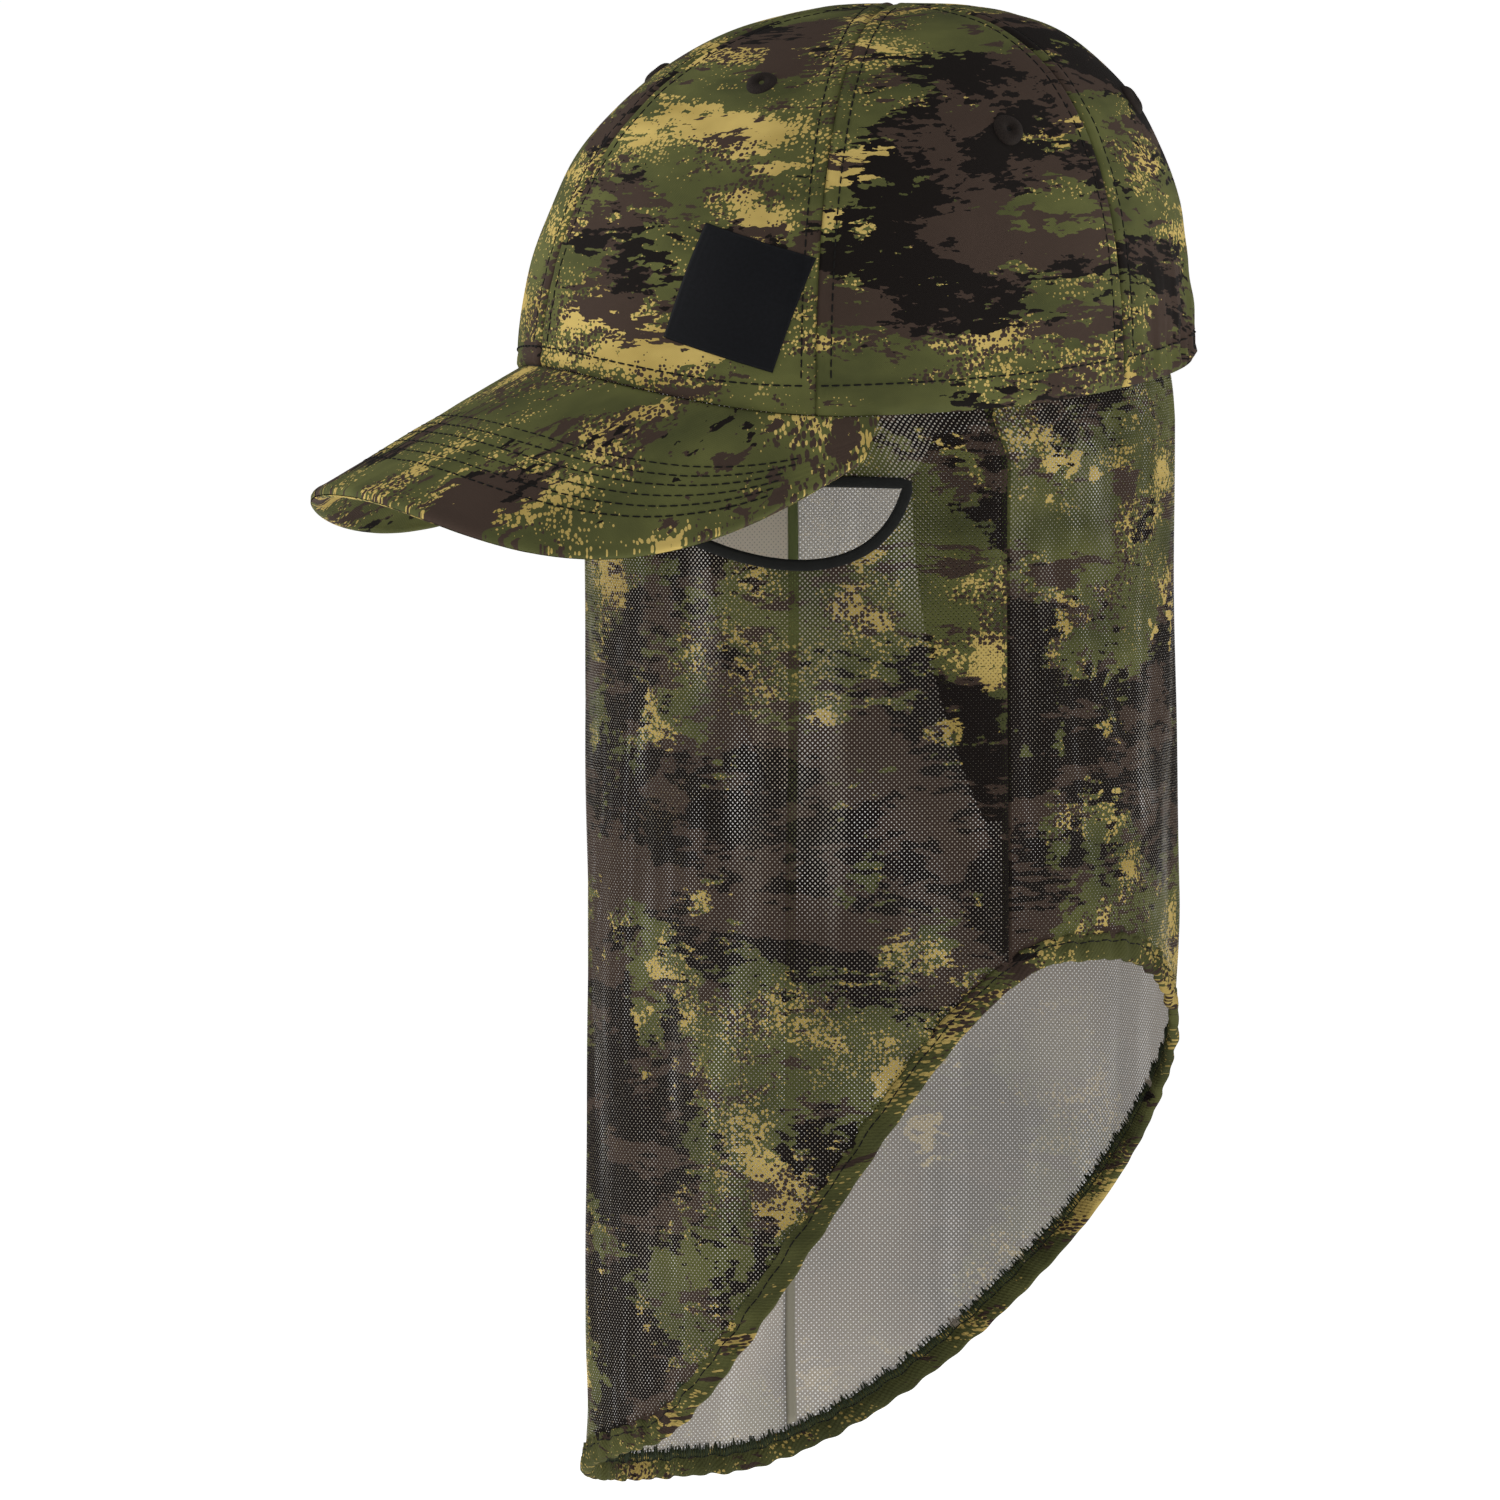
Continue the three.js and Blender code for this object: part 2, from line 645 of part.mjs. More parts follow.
// The hem is folded up on both sides of the net, round an elastic cord.
function hemCasing() {
  const slack = (HEM_ELASTIC_WIDTH - NET_THICKNESS) / 2 + CLEARANCE;
  const outside = slack + HEM_WALL;
  const inside = -NET_THICKNESS - slack - HEM_WALL;
  return bandSolid(hemStations(64), [
    [0, outside],
    [HEM_DEPTH, outside],
    [HEM_DEPTH, slack],
    [HEM_WALL, slack],
    [HEM_WALL, -NET_THICKNESS - slack],
    [HEM_DEPTH, -NET_THICKNESS - slack],
    [HEM_DEPTH, inside],
    [0, inside],
  ]);
}

function hemElastic() {
  const low = HEM_WALL + CLEARANCE;
  const high = low + HEM_ELASTIC_HEIGHT;
  const middle = -NET_THICKNESS / 2;
  const half = HEM_ELASTIC_WIDTH / 2;
  return bandSolid(hemStations(64), [
    [low, middle + half],
    [high, middle + half],
    [high, middle - half],
    [low, middle - half],
  ]);
}

add('hem_casing', hemCasing(), material('#33361f', 0.9));
add('hem_elastic', hemElastic(), material('#141414', 0.8));

export default group;
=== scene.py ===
"""A camouflage cap with a face and neck net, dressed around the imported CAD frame.

Metres, +Z up, the brim towards -Y and the wearer's left towards +X. Angles run round from the
front (0) over the wearer's left (90) to the back (180), in degrees.
"""
import math

import bpy
import numpy as np
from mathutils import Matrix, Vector


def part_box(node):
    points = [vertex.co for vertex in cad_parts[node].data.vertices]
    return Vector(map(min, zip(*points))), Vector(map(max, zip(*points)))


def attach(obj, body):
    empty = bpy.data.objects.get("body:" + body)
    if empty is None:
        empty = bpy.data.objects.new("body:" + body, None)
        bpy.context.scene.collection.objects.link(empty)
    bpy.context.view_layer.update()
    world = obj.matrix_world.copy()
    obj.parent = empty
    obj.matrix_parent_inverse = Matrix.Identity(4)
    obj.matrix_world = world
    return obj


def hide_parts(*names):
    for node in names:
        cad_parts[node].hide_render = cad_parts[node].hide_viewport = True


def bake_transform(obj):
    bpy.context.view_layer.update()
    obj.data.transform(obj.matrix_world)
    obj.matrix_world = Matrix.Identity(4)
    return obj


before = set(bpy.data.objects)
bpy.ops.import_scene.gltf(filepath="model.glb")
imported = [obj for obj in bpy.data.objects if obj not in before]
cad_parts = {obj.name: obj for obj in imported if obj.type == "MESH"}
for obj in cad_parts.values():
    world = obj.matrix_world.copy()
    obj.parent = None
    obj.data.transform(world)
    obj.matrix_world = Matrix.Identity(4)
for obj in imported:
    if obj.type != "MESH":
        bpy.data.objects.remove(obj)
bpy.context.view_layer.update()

MM = 0.001
SIDES = {"left": 1, "right": -1}
CAP, HEM = "cap", "hem"

# ---------------------------------------------------------------- sizes, from the frame

HALF_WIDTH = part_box("crown_side_left")[1][0]
HALF_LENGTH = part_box("crown_back_left")[1][1]
CROWN_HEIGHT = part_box("crown_side_left")[1][2] + 0.02 * MM
EDGE_SADDLE = 12 * MM
EDGE_LOWEST_AT = 68
APEX_SHIFT = 12 * MM
TOP_RADIUS = 0.4 * MM
SEAMS = [0, 62, 121, 180]
CLOTH_THICKNESS = 1.0 * MM

BRIM_TIP_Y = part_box("brim_top_cover")[0][1]
BRIM_HALF_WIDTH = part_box("brim_top_cover")[1][0]
BRIM_END = 74
BRIM_SQUARENESS = 2.7
BRIM_SLOPE = 0.554
BRIM_CURL = 60 * MM
BRIM_CURL_POWER = 2.6
BRIM_ROOT_DROP = 0.3 * MM
BRIM_THICKNESS = 3.4 * MM
BRIM_ROWS = [0.40, 0.465, 0.53, 0.60, 0.67, 0.74]

NET_HALF_WIDTH = 70 * MM
NET_HALF_LENGTH = 87 * MM
NET_SHIFT = 7.9 * MM
NET_THICKNESS = 0.25 * MM
NET_INSET_AT_TOP = 6.9 * MM
NET_BAND_RISE = 2 * MM
NET_BAND_HEIGHT = 8 * MM
NET_FLARE = 20 * MM
NET_SEAM = 94
FACING_TOP = -6 * MM
FACING_LENGTH = 110 * MM
FACING_START = 74.5
HEM_LOW = -312 * MM
HEM_HIGH = -157 * MM
HEM_HIGHEST_AT = 112
HEM_SLOPE_START = 5
HEM_SLOPE_FRONT = 95
HEM_TRAIL_END = 178
HEM_TRAIL_SHARE = 0.25
HEM_SLOPE_BACK = 170
MESH_WIDTH = 1.4 * MM
MESH_HEIGHT = 1.5 * MM

EYE_CORNERS = ((13, -25), (73, -21))
EYE_TOP = (35, -18.5)
EYE_LOW = ((67, -53), (40, -43))

STITCH_LENGTH = 2.3 * MM
STITCH_PITCH = 3.1 * MM
STITCH_RADIUS = 0.28 * MM
SEAM_STITCH_FROM_EDGE = 4.2 * MM

# ---------------------------------------------------------------- mesh helpers


def smoothstep(x, low, high):
    t = np.clip((x - low) / (high - low), 0, 1)
    return t * t * (3 - 2 * t)


def ripple(a, b, seed=0):
    """A smooth, repeatable unevenness between about -1 and 1, with features about 1 long."""
    total = 0
    for k in range(4):
        turn = 1.7 * k + 0.9 * seed
        size = 1 + 0.45 * k
        wave = np.sin(size * (a * math.cos(turn) + b * math.sin(turn)) * 2.6 + 3.1 * turn)
        total = total + wave * (0.42 - 0.05 * k)
    return total


def unit(vectors):
    """The same directions, each of length one."""
    return vectors / np.linalg.norm(vectors, axis=-1, keepdims=True)


def grid_normals(points, outward):
    """Unit normals of a grid of points, on the side that outward (a vector field) points to."""
    across = np.gradient(points, axis=0)
    along = np.gradient(points, axis=1)
    normal = np.cross(across, along)
    length = np.linalg.norm(normal, axis=-1, keepdims=True)
    normal = normal / np.maximum(length, 1e-12)
    flip = np.sign((normal * outward).sum(-1, keepdims=True))
    return normal * np.where(flip == 0, 1, flip)


def new_object(name, vertices, faces, materials, indices=None, uvs=None):
    mesh = bpy.data.meshes.new(name)
    mesh.from_pydata(vertices.tolist(), [], faces)
    for material in materials:
        mesh.materials.append(material)
    if indices is not None:
        mesh.polygons.foreach_set("material_index", np.asarray(indices, np.int32))
    mesh.polygons.foreach_set("use_smooth", np.ones(len(mesh.polygons), bool))
    if uvs is not None:
        layer = mesh.uv_layers.new(name="Cloth")
        layer.uv.foreach_set("vector", np.asarray(uvs, np.float32).ravel())
    mesh.update()
    obj = bpy.data.objects.new(name, mesh)
    bpy.context.scene.collection.objects.link(obj)
    return obj


def cloth_object(name, outer, inner, uv, materials, ring=False, keep=None):
    """A closed sheet from two grids of points. uv is a grid of pairs, with one more column
    than the points on a ring. keep says which cells are there. The second material is for
    the inner face."""
    columns, rows = outer.shape[:2]
    cells = (columns if ring else columns - 1, rows - 1)
    keep = np.ones(cells, bool) if keep is None else keep
    vertices = np.concatenate([outer.reshape(-1, 3), inner.reshape(-1, 3)])
    count = columns * rows
    i, j = np.nonzero(keep)
    after = (i + 1) % columns
    corners = np.stack([i * rows + j, after * rows + j, after * rows + j + 1,
                        i * rows + j + 1], 1)
    grid_uv = np.stack([uv[i, j], uv[i + 1, j], uv[i + 1, j + 1], uv[i, j + 1]], 1)
    faces = [corners, corners[:, ::-1] + count]
    face_uvs = [grid_uv, grid_uv[:, ::-1]]
    slots = [np.zeros(len(i)), np.ones(len(i)) * (len(materials) > 1)]

    def neighbour(di, dj):
        ni, nj = i + di, j + dj
        if ring:
            ni = ni % cells[0]
        inside = (ni >= 0) & (ni < cells[0]) & (nj >= 0) & (nj < cells[1])
        there = np.zeros(len(i), bool)
        there[inside] = keep[ni[inside], nj[inside]]
        return there

    for (di, dj), (a, b) in {(0, -1): (0, 1), (1, 0): (1, 2), (0, 1): (2, 3),
                             (-1, 0): (3, 0)}.items():
        edge = ~neighbour(di, dj)
        start, end = corners[edge, a], corners[edge, b]
        faces.append(np.stack([end, start, start + count, end + count], 1))
        uv_a, uv_b = grid_uv[edge, a], grid_uv[edge, b]
        face_uvs.append(np.stack([uv_b, uv_a, uv_a, uv_b], 1))
        slots.append(np.zeros(edge.sum()))
    faces = np.concatenate(faces)
    face_uvs = np.concatenate(face_uvs)
    slots = np.concatenate(slots)
    used, remapped = np.unique(faces, return_inverse=True)
    faces = remapped.reshape(faces.shape)
    vertices = vertices[used]
    # the grid's turn decides which way its faces point: the outer face looks away from inner
    first = faces[0]
    normal = np.cross(vertices[first[1]] - vertices[first[0]],
                      vertices[first[2]] - vertices[first[0]])
    a, b = np.argwhere(keep)[0]
    if normal @ (outer[a, b] - inner[a, b]) < 0:
        faces = faces[:, ::-1]
        face_uvs = face_uvs[:, ::-1]
    return new_object(name, vertices, faces.tolist(), materials, slots, face_uvs)


def swept_object(name, origin, across, out, section, uv_scale, material):
    """A band with one section, a list of (across, out) sizes, carried along stations."""
    section = np.asarray(section)
    ring = (origin[:, None] + across[:, None] * section[None, :, :1]
            + out[:, None] * section[None, :, 1:])
    stations, sides = ring.shape[:2]
    step = np.linalg.norm(np.diff(origin, axis=0, append=origin[:1]), axis=1)
    along = np.concatenate([[0], np.cumsum(step)])
    around = np.concatenate([[0], np.cumsum(np.linalg.norm(
        np.diff(section, axis=0, append=section[:1]), axis=1))])
    faces, uvs = [], []
    for i in range(stations):
        n = (i + 1) % stations
        for k in range(sides):
            m = (k + 1) % sides
            faces.append([i * sides + k, n * sides + k, n * sides + m, i * sides + m])
            uvs += [(along[i], around[k]), (along[i + 1], around[k]),
                    (along[i + 1], around[k + 1]), (along[i], around[k + 1])]
    obj = new_object(name, ring.reshape(-1, 3), faces, [material], None,
                     np.array(uvs) * uv_scale)
    outward_faces(obj)
    return obj


def outward_faces(obj):
    """Turns a closed mesh's faces round if they point inwards."""
    mesh = obj.data
    mesh.calc_loop_triangles()
    places = np.array([v.co for v in mesh.vertices])
    corners = places[np.array([t.vertices for t in mesh.loop_triangles])]
    volume = np.einsum("ij,ij->", corners[:, 0], np.cross(corners[:, 1], corners[:, 2]))
    if volume < 0:
        mesh.flip_normals()


def stitches(name, rows, material, length=STITCH_LENGTH, pitch=STITCH_PITCH,
             radius=STITCH_RADIUS, sunk=0.3):
    """Short rounded threads along rows of (points, outward normals)."""
    sides, rings = 6, [(-0.5, 0.25), (-0.42, 0.85), (0, 1), (0.42, 0.85), (0.5, 0.25)]
    turn = np.arange(sides) * 2 * math.pi / sides
    template = np.array([[x * length, r * radius * math.cos(t), r * radius * math.sin(t)]
                         for x, r in rings for t in turn])
    template_faces = [[i * sides + k, i * sides + (k + 1) % sides,
                       (i + 1) * sides + (k + 1) % sides, (i + 1) * sides + k]
                      for i in range(len(rings) - 1) for k in range(sides)]
    template_faces.append(list(reversed(range(sides))))
    template_faces.append([(len(rings) - 1) * sides + k for k in range(sides)])
    vertices, faces = [], []
    for points, normals in rows:
        steps = np.linalg.norm(np.diff(points, axis=0), axis=1)
        reach = np.concatenate([[0], np.cumsum(steps)])
        places = np.arange(pitch * 0.5, reach[-1] - pitch * 0.4, pitch)
        for s in places:
            at = [np.interp(s, reach, points[:, k]) for k in range(3)]
            ahead = [np.interp(s + length / 2, reach, points[:, k]) for k in range(3)]
            behind = [np.interp(s - length / 2, reach, points[:, k]) for k in range(3)]
            up = Vector([np.interp(s, reach, normals[:, k]) for k in range(3)]).normalized()
            along = (Vector(ahead) - Vector(behind)).normalized()
            side = up.cross(along).normalized()
            basis = np.array([along, side, up])
            start = len(vertices) * len(template)
            vertices.append(template @ basis + np.array(at) - np.array(up) * radius * sunk)
            faces += [[start + v for v in face] for face in template_faces]
    obj = new_object(name, np.concatenate(vertices), faces, [material])
    outward_faces(obj)
    return obj


# ---------------------------------------------------------------- node helpers


def linear(red, green, blue):
    """A colour in linear light, from its 0 to 255 display values."""
    def one(v):
        v = v / 255
        return v / 12.92 if v <= 0.04045 else ((v + 0.055) / 1.055) ** 2.4
    return (one(red), one(green), one(blue), 1)


class Look:
    """A material, and short ways to add nodes to it."""

    def __init__(self, name, roughness=0.85, sheen=0.0, specular=0.3):
        self.material = bpy.data.materials.new(name)
        self.material.use_nodes = True
        self.tree = self.material.node_tree
        self.shader = self.tree.nodes["Principled BSDF"]
        self.shader.inputs["Roughness"].default_value = roughness
        self.shader.inputs["Sheen Weight"].default_value = sheen
        self.shader.inputs["Sheen Roughness"].default_value = 0.5
        self.shader.inputs["Specular IOR Level"].default_value = specular

    def put(self, value, socket):
        if isinstance(value, bpy.types.NodeSocket):
            self.tree.links.new(value, socket)
        else:
            socket.default_value = value

    def math(self, operation, a, b=0.0, c=0.0):
        node = self.tree.nodes.new("ShaderNodeMath")
        node.operation = operation
        for value, socket in zip((a, b, c), node.inputs):
            self.put(value, socket)
        return node.outputs[0]

    def uv(self):
        node = self.tree.nodes.new("ShaderNodeUVMap")
        node.uv_map = "Cloth"
        return node.outputs[0]

    def place(self):
        return self.tree.nodes.new("ShaderNodeTexCoord").outputs["Object"]

    def mapped(self, vector, scale, shift=(0, 0, 0), turn=0.0):
        node = self.tree.nodes.new("ShaderNodeMapping")
        self.put(vector, node.inputs["Vector"])
        node.inputs["Scale"].default_value = scale
        node.inputs["Location"].default_value = shift
        node.inputs["Rotation"].default_value = (0, 0, turn)
        return node.outputs[0]

    def noise(self, vector, detail=5.0, rough=0.6, distortion=0.0, scale=1.0):
        node = self.tree.nodes.new("ShaderNodeTexNoise")
        self.put(vector, node.inputs["Vector"])
        node.inputs["Scale"].default_value = scale
        node.inputs["Detail"].default_value = detail
        node.inputs["Roughness"].default_value = rough
        node.inputs["Distortion"].default_value = distortion
        return node.outputs["Fac"]

    def cells(self, vector, random=0.75):
        node = self.tree.nodes.new("ShaderNodeTexVoronoi")
        self.put(vector, node.inputs["Vector"])
        node.inputs["Scale"].default_value = 1.0
        node.inputs["Randomness"].default_value = random
        return node.outputs["Distance"]

    def mix(self, factor, a, b):
        node = self.tree.nodes.new("ShaderNodeMix")
        node.data_type = "RGBA"
        self.put(factor, node.inputs[0])
        self.put(a, node.inputs[6])
        self.put(b, node.inputs[7])
        return node.outputs[2]

    def span(self, value, low, high, to_low=0.0, to_high=1.0):
        node = self.tree.nodes.new("ShaderNodeMapRange")
        self.put(value, node.inputs["Value"])
        for name, number in (("From Min", low), ("From Max", high), ("To Min", to_low),
                             ("To Max", to_high)):
            node.inputs[name].default_value = number
        return node.outputs[0]

    def xy(self, vector):
        node = self.tree.nodes.new("ShaderNodeSeparateXYZ")
        self.put(vector, node.inputs[0])
        return node.outputs[0], node.outputs[1]

    def colour(self, value):
        self.put(value, self.shader.inputs["Base Color"])

    def bump(self, height, strength, distance):
        node = self.tree.nodes.new("ShaderNodeBump")
        node.inputs["Strength"].default_value = strength
        node.inputs["Distance"].default_value = distance
        self.put(height, node.inputs["Height"])
        self.put(node.outputs[0], self.shader.inputs["Normal"])


OLIVE = linear(90, 92, 52)
OLIVE_DARK = linear(66, 69, 40)
TAN = linear(192, 168, 98)
TAN_DARK = linear(160, 138, 74)
BROWN = linear(62, 50, 43)
BLACK = linear(22, 18, 16)


def camo(look, vector, dark=0.0, light=0.0, painted_shade=0.0, tan_size=(21, 50, 1),
         brown_size=(12, 26, 1)):
    """The print: olive ground, ragged tan and brown patches drawn out sideways, black cores,
    and fields of dots where one colour gives way to another. vector is in metres; dark and
    light give the brown and the tan patches more room."""
    streak = look.noise(look.mapped(vector, (170, 560, 1)), 2, 0.5)
    fibre = look.math("SUBTRACT", streak, 0.5)
    dot = look.math("SUBTRACT", 0.42, look.cells(look.mapped(vector, (820, 860, 1)), 0.8))
    near = look.noise(look.mapped(vector, (24, 34, 1), (4.3, 1.7, 0)), 1, 0.5)
    strength = look.span(near, 0.36, 0.60, 0.03, 0.42)

    def patches(scale, shift, level, stipple=True, detail=6, rough=0.6, fibres=0.12):
        field = look.noise(look.mapped(vector, scale, shift), detail, rough, 0.3)
        field = look.math("MULTIPLY_ADD", fibre, fibres, field)
        if stipple:
            field = look.math("MULTIPLY_ADD", dot, strength, field)
        return look.math("GREATER_THAN", field, level)

    tone = look.noise(look.mapped(vector, (30, 60, 1), (7, 2, 0)), 3, 0.5)
    ground = look.mix(look.span(tone, 0.35, 0.65), OLIVE_DARK, OLIVE)
    sand = look.mix(look.span(tone, 0.3, 0.6), TAN_DARK, TAN)
    tan = patches(tan_size, (1.3, 5.1, 0), 0.55 - light)
    rim = patches(tan_size, (1.3, 5.1, 0), 0.49 - light, False)
    brown = patches(brown_size, (8.2, 3.3, 0), 0.56 - dark, False, 7, 0.66, 0.2)
    flake = patches((34, 90, 1), (3.2, 6.3, 0), 0.61 - dark * 0.5, False, 6, 0.66, 0.2)
    black = patches((20, 42, 1), (5.5, 9.4, 0), 0.55 - dark, False, 7, 0.66, 0.2)
    fleck = look.cells(look.mapped(vector, (720, 760, 1), (3, 3, 0)), 0.75)
    spot_zone = look.noise(look.mapped(vector, (26, 44, 1), (2, 8, 0)), 2, 0.5)
    spot = look.math("LESS_THAN", fleck, look.span(spot_zone, 0.44, 0.56, 0.0, 0.50))
    pale = look.cells(look.mapped(vector, (800, 840, 1), (1, 6, 0)), 0.8)
    pale_zone = look.noise(look.mapped(vector, (30, 50, 1), (9, 1, 0)), 2, 0.5)
    pale = look.math("LESS_THAN", pale, look.span(pale_zone, 0.5, 0.66, 0.0, 0.4))
    colour = look.mix(look.math("MULTIPLY", pale, 0.7), ground, sand)
    colour = look.mix(tan, colour, sand)
    colour = look.mix(look.math("MULTIPLY", spot, rim), colour, BROWN)
    colour = look.mix(flake, colour, BROWN)
    colour = look.mix(brown, colour, BROWN)
    colour = look.mix(look.math("MULTIPLY", brown, black), colour, BLACK)
    # darkens the whole print towards black: painted shade, for the net's mesh threads and the
    # doubled hem, which stand in shadow
    if painted_shade:
        colour = look.mix(painted_shade, colour, BLACK)
    return colour


def woven(look, vector, pitch=0.55 * MM):
    """The height of a plain weave."""
    u, v = look.xy(vector)
    turns = 2 * math.pi / pitch
    over = look.math("SINE", look.math("MULTIPLY", u, turns))
    under = look.math("SINE", look.math("MULTIPLY", v, turns))
    return look.math("MULTIPLY", over, under)


def camo_cloth(name, shift, turn=0.0, dark=0.0, light=0.0):
    look = Look(name, roughness=0.92, sheen=0.0, specular=0.1)
    vector = look.mapped(look.uv(), (1, 1, 1), shift, turn)
    colour = camo(look, vector, dark, light)
    # random darker blotches towards black: painted shade, standing in for the cloth's uneven
    # shading
    shade_blotch = look.noise(look.mapped(look.uv(), (55, 55, 1)), 4, 0.6)
    look.colour(look.mix(look.span(shade_blotch, 0.3, 0.75, 0.0, 0.14), colour, BLACK))
    rumple = look.noise(look.mapped(look.uv(), (420, 420, 1)), 3, 0.6)
    look.bump(look.math("MULTIPLY_ADD", rumple, 0.8, woven(look, look.uv())), 0.3, 0.12 * MM)
    return look.material


def plain_cloth(name, colour, other, scale=260.0, pitch=0.9 * MM, roughness=0.9, sheen=0.1,
                by_place=False):
    look = Look(name, roughness=roughness, sheen=sheen, specular=0.25)
    vector = look.place() if by_place else look.uv()
    tone = look.noise(look.mapped(vector, (scale, scale * 0.6, scale)), 4, 0.65)
    look.colour(look.mix(look.span(tone, 0.3, 0.7), colour, other))
    fine = look.noise(look.mapped(vector, (1 / pitch, 1 / pitch, 1 / pitch)), 2, 0.5)
    look.bump(fine, 0.5, 0.15 * MM)
    return look.material


def net_cloth(name, face, shift=(0, 0, 0), thread=0.66, loose=0.16):
    """Knitted mesh: diamond holes between threads, printed outside and pale grey inside. The
    threads spread apart in long upright streaks where the net is drawn tight."""
    look = Look(name, roughness=0.95, sheen=0.0, specular=0.05)
    uv = look.uv()
    u, v = look.xy(uv)
    across = look.math("DIVIDE", u, MESH_WIDTH)
    along = look.math("DIVIDE", v, MESH_HEIGHT)
    lines = []
    for sign in ("ADD", "SUBTRACT"):
        phase = look.math("FRACT", look.math(sign, across, along))
        lines.append(look.math("ABSOLUTE", look.math("SUBTRACT", phase, 0.5)))
    middle = look.math("MAXIMUM", *lines)
    pull = look.noise(look.mapped(uv, (62, 8, 1), (2, 3, 0), 0.06), 2, 0.5)
    edge = look.span(pull, 0.52, 0.66, 0.5 - thread / 2, 0.5 - thread / 2 + loose / 2)
    solid = look.math("GREATER_THAN", middle, edge)
    if face != "outside":
        solid = look.math("MULTIPLY_ADD", solid, 0.36, 0.56)
    other_side = look.tree.nodes.new("ShaderNodeNewGeometry").outputs["Backfacing"]
    solid = look.math("MULTIPLY", solid, look.math("SUBTRACT", 1.0, other_side))
    look.put(solid, look.shader.inputs["Alpha"])
    # the net's print is darkened by 0.3 towards black: painted shade for threads in shadow
    printed = camo(look, look.mapped(uv, (1, 1, 1), shift), dark=0.06, light=0.005, painted_shade=0.3,
                   tan_size=(38, 40, 1), brown_size=(17, 15, 1))
    if face == "outside":
        look.colour(printed)
    else:
        # the inside threads are pale grey, set nearly to white as painted light where the far
        # inside is seen through the eye, and darker towards the bottom as painted shade
        low, high = linear(150, 141, 128), linear(245, 236, 220)
        grey = look.mix(look.span(v, -0.16, -0.04), low, high) if face == "inside" else high
        zone = look.noise(look.mapped(uv, (14, 11, 1), (6, 4, 0)), 1, 0.5)
        through = look.span(zone, 0.42, 0.66, 0.08, 0.6 if face == "inside" else 0.1)
        look.colour(look.mix(through, grey, printed))
    look.bump(middle, 0.4, 0.2 * MM)
    return look.material


def hem_cloth():
    """The net's print on the doubled, nearly closed mesh of the hem."""
    look = Look("hem_print", roughness=0.95, specular=0.05)
    # the hem's print is darkened by 0.4 towards black: painted shade for the doubled hem in
    # shadow
    printed = camo(look, look.uv(), dark=-0.04, light=0.005, painted_shade=0.4,
                   tan_size=(38, 40, 1), brown_size=(17, 15, 1))
    look.colour(printed)
    u, v = look.xy(look.uv())
    turns = 2 * math.pi
    over = look.math("SINE", look.math("MULTIPLY", u, turns / MESH_WIDTH))
    under = look.math("SINE", look.math("MULTIPLY", v, turns / MESH_HEIGHT))
    look.bump(look.math("MULTIPLY", over, under), 0.6, 0.2 * MM)
    return look.material


def tape_cloth():
    """The net's seam tape: olive above, turning to the grey of the mesh below the cheek."""
    look = Look("net_tape_cloth", roughness=0.9, specular=0.1)
    tone = look.noise(look.mapped(look.uv(), (300, 160, 1)), 3, 0.6)
    olive = look.mix(tone, linear(104, 116, 72), linear(124, 134, 90))
    u, v = look.xy(look.uv())
    look.colour(look.mix(look.span(v, -0.17, -0.07), linear(128, 124, 110), olive))
    look.bump(tone, 0.4, 0.15 * MM)
    return look.material


def thread_look(name, colour):
    look = Look(name, roughness=0.85, specular=0.15)
    twist = look.noise(look.mapped(look.place(), (2600, 2600, 2600)), 2, 0.5)
    look.colour(look.mix(look.span(twist, 0.35, 0.65, 0.0, 0.5), colour, linear(9, 8, 8)))
    look.bump(twist, 0.5, 0.08 * MM)
    return look.material


def film_look():
    look = Look("patch_film", roughness=0.6, specular=0.12)
    grain = look.noise(look.mapped(look.uv(), (900, 900, 1)), 3, 0.6)
    look.colour(look.mix(look.span(grain, 0.3, 0.7), linear(6, 7, 10), linear(12, 13, 17)))
    look.bump(grain, 0.25, 0.06 * MM)
    return look.material


DARK_THREAD = thread_look("dark_thread", linear(20, 19, 17))
EYELET_THREAD = thread_look("eyelet_thread", linear(38, 31, 27))
OVERLOCK_THREAD = thread_look("overlock_thread", linear(44, 52, 34))
NET_OUTSIDE = net_cloth("net_outside", "outside")
NET_INSIDE = net_cloth("net_inside", "inside")
FACING_INSIDE = net_cloth("facing_inside", "facing")
NECK_OUTSIDE = net_cloth("neck_outside", "outside", (0.31, 0.17, 0), 0.76, 0.36)
NECK_INSIDE = net_cloth("neck_inside", "inside", (0.31, 0.17, 0))
LINING_GREY = plain_cloth("panel_reverse", linear(118, 115, 106), linear(92, 90, 82))
BINDING = plain_cloth("binding_cloth", linear(9, 10, 9), linear(18, 19, 17), pitch=0.7 * MM,
                      sheen=0.02)
TAPE_OLIVE = tape_cloth()
SWEAT_TWILL = plain_cloth("sweatband_twill", linear(34, 34, 31), linear(22, 22, 20))

# ---------------------------------------------------------------- the crown's surface


def edge_height(angle):
    around = np.abs((np.asarray(angle, float) + 180) % 360 - 180)
    share = np.where(around < EDGE_LOWEST_AT, around / EDGE_LOWEST_AT,
                     (180 - around) / (180 - EDGE_LOWEST_AT))
    return EDGE_SADDLE * (0.5 + 0.5 * np.cos(math.pi * share))


def profile_power(angle):
    return 2.55 - 0.29 * np.cos(np.radians(angle))


def crown_at(angle, height):
    angle, height = np.broadcast_arrays(np.asarray(angle, float), height)
    power = profile_power(angle)
    up = np.clip(height / CROWN_HEIGHT, 0, 1)
    share = (1 - up ** power) ** (1 / power)
    x = HALF_WIDTH * np.sin(np.radians(angle)) * share
    y = APEX_SHIFT + (-HALF_LENGTH * np.cos(np.radians(angle)) - APEX_SHIFT) * share
    return np.stack([x, y, height], -1)


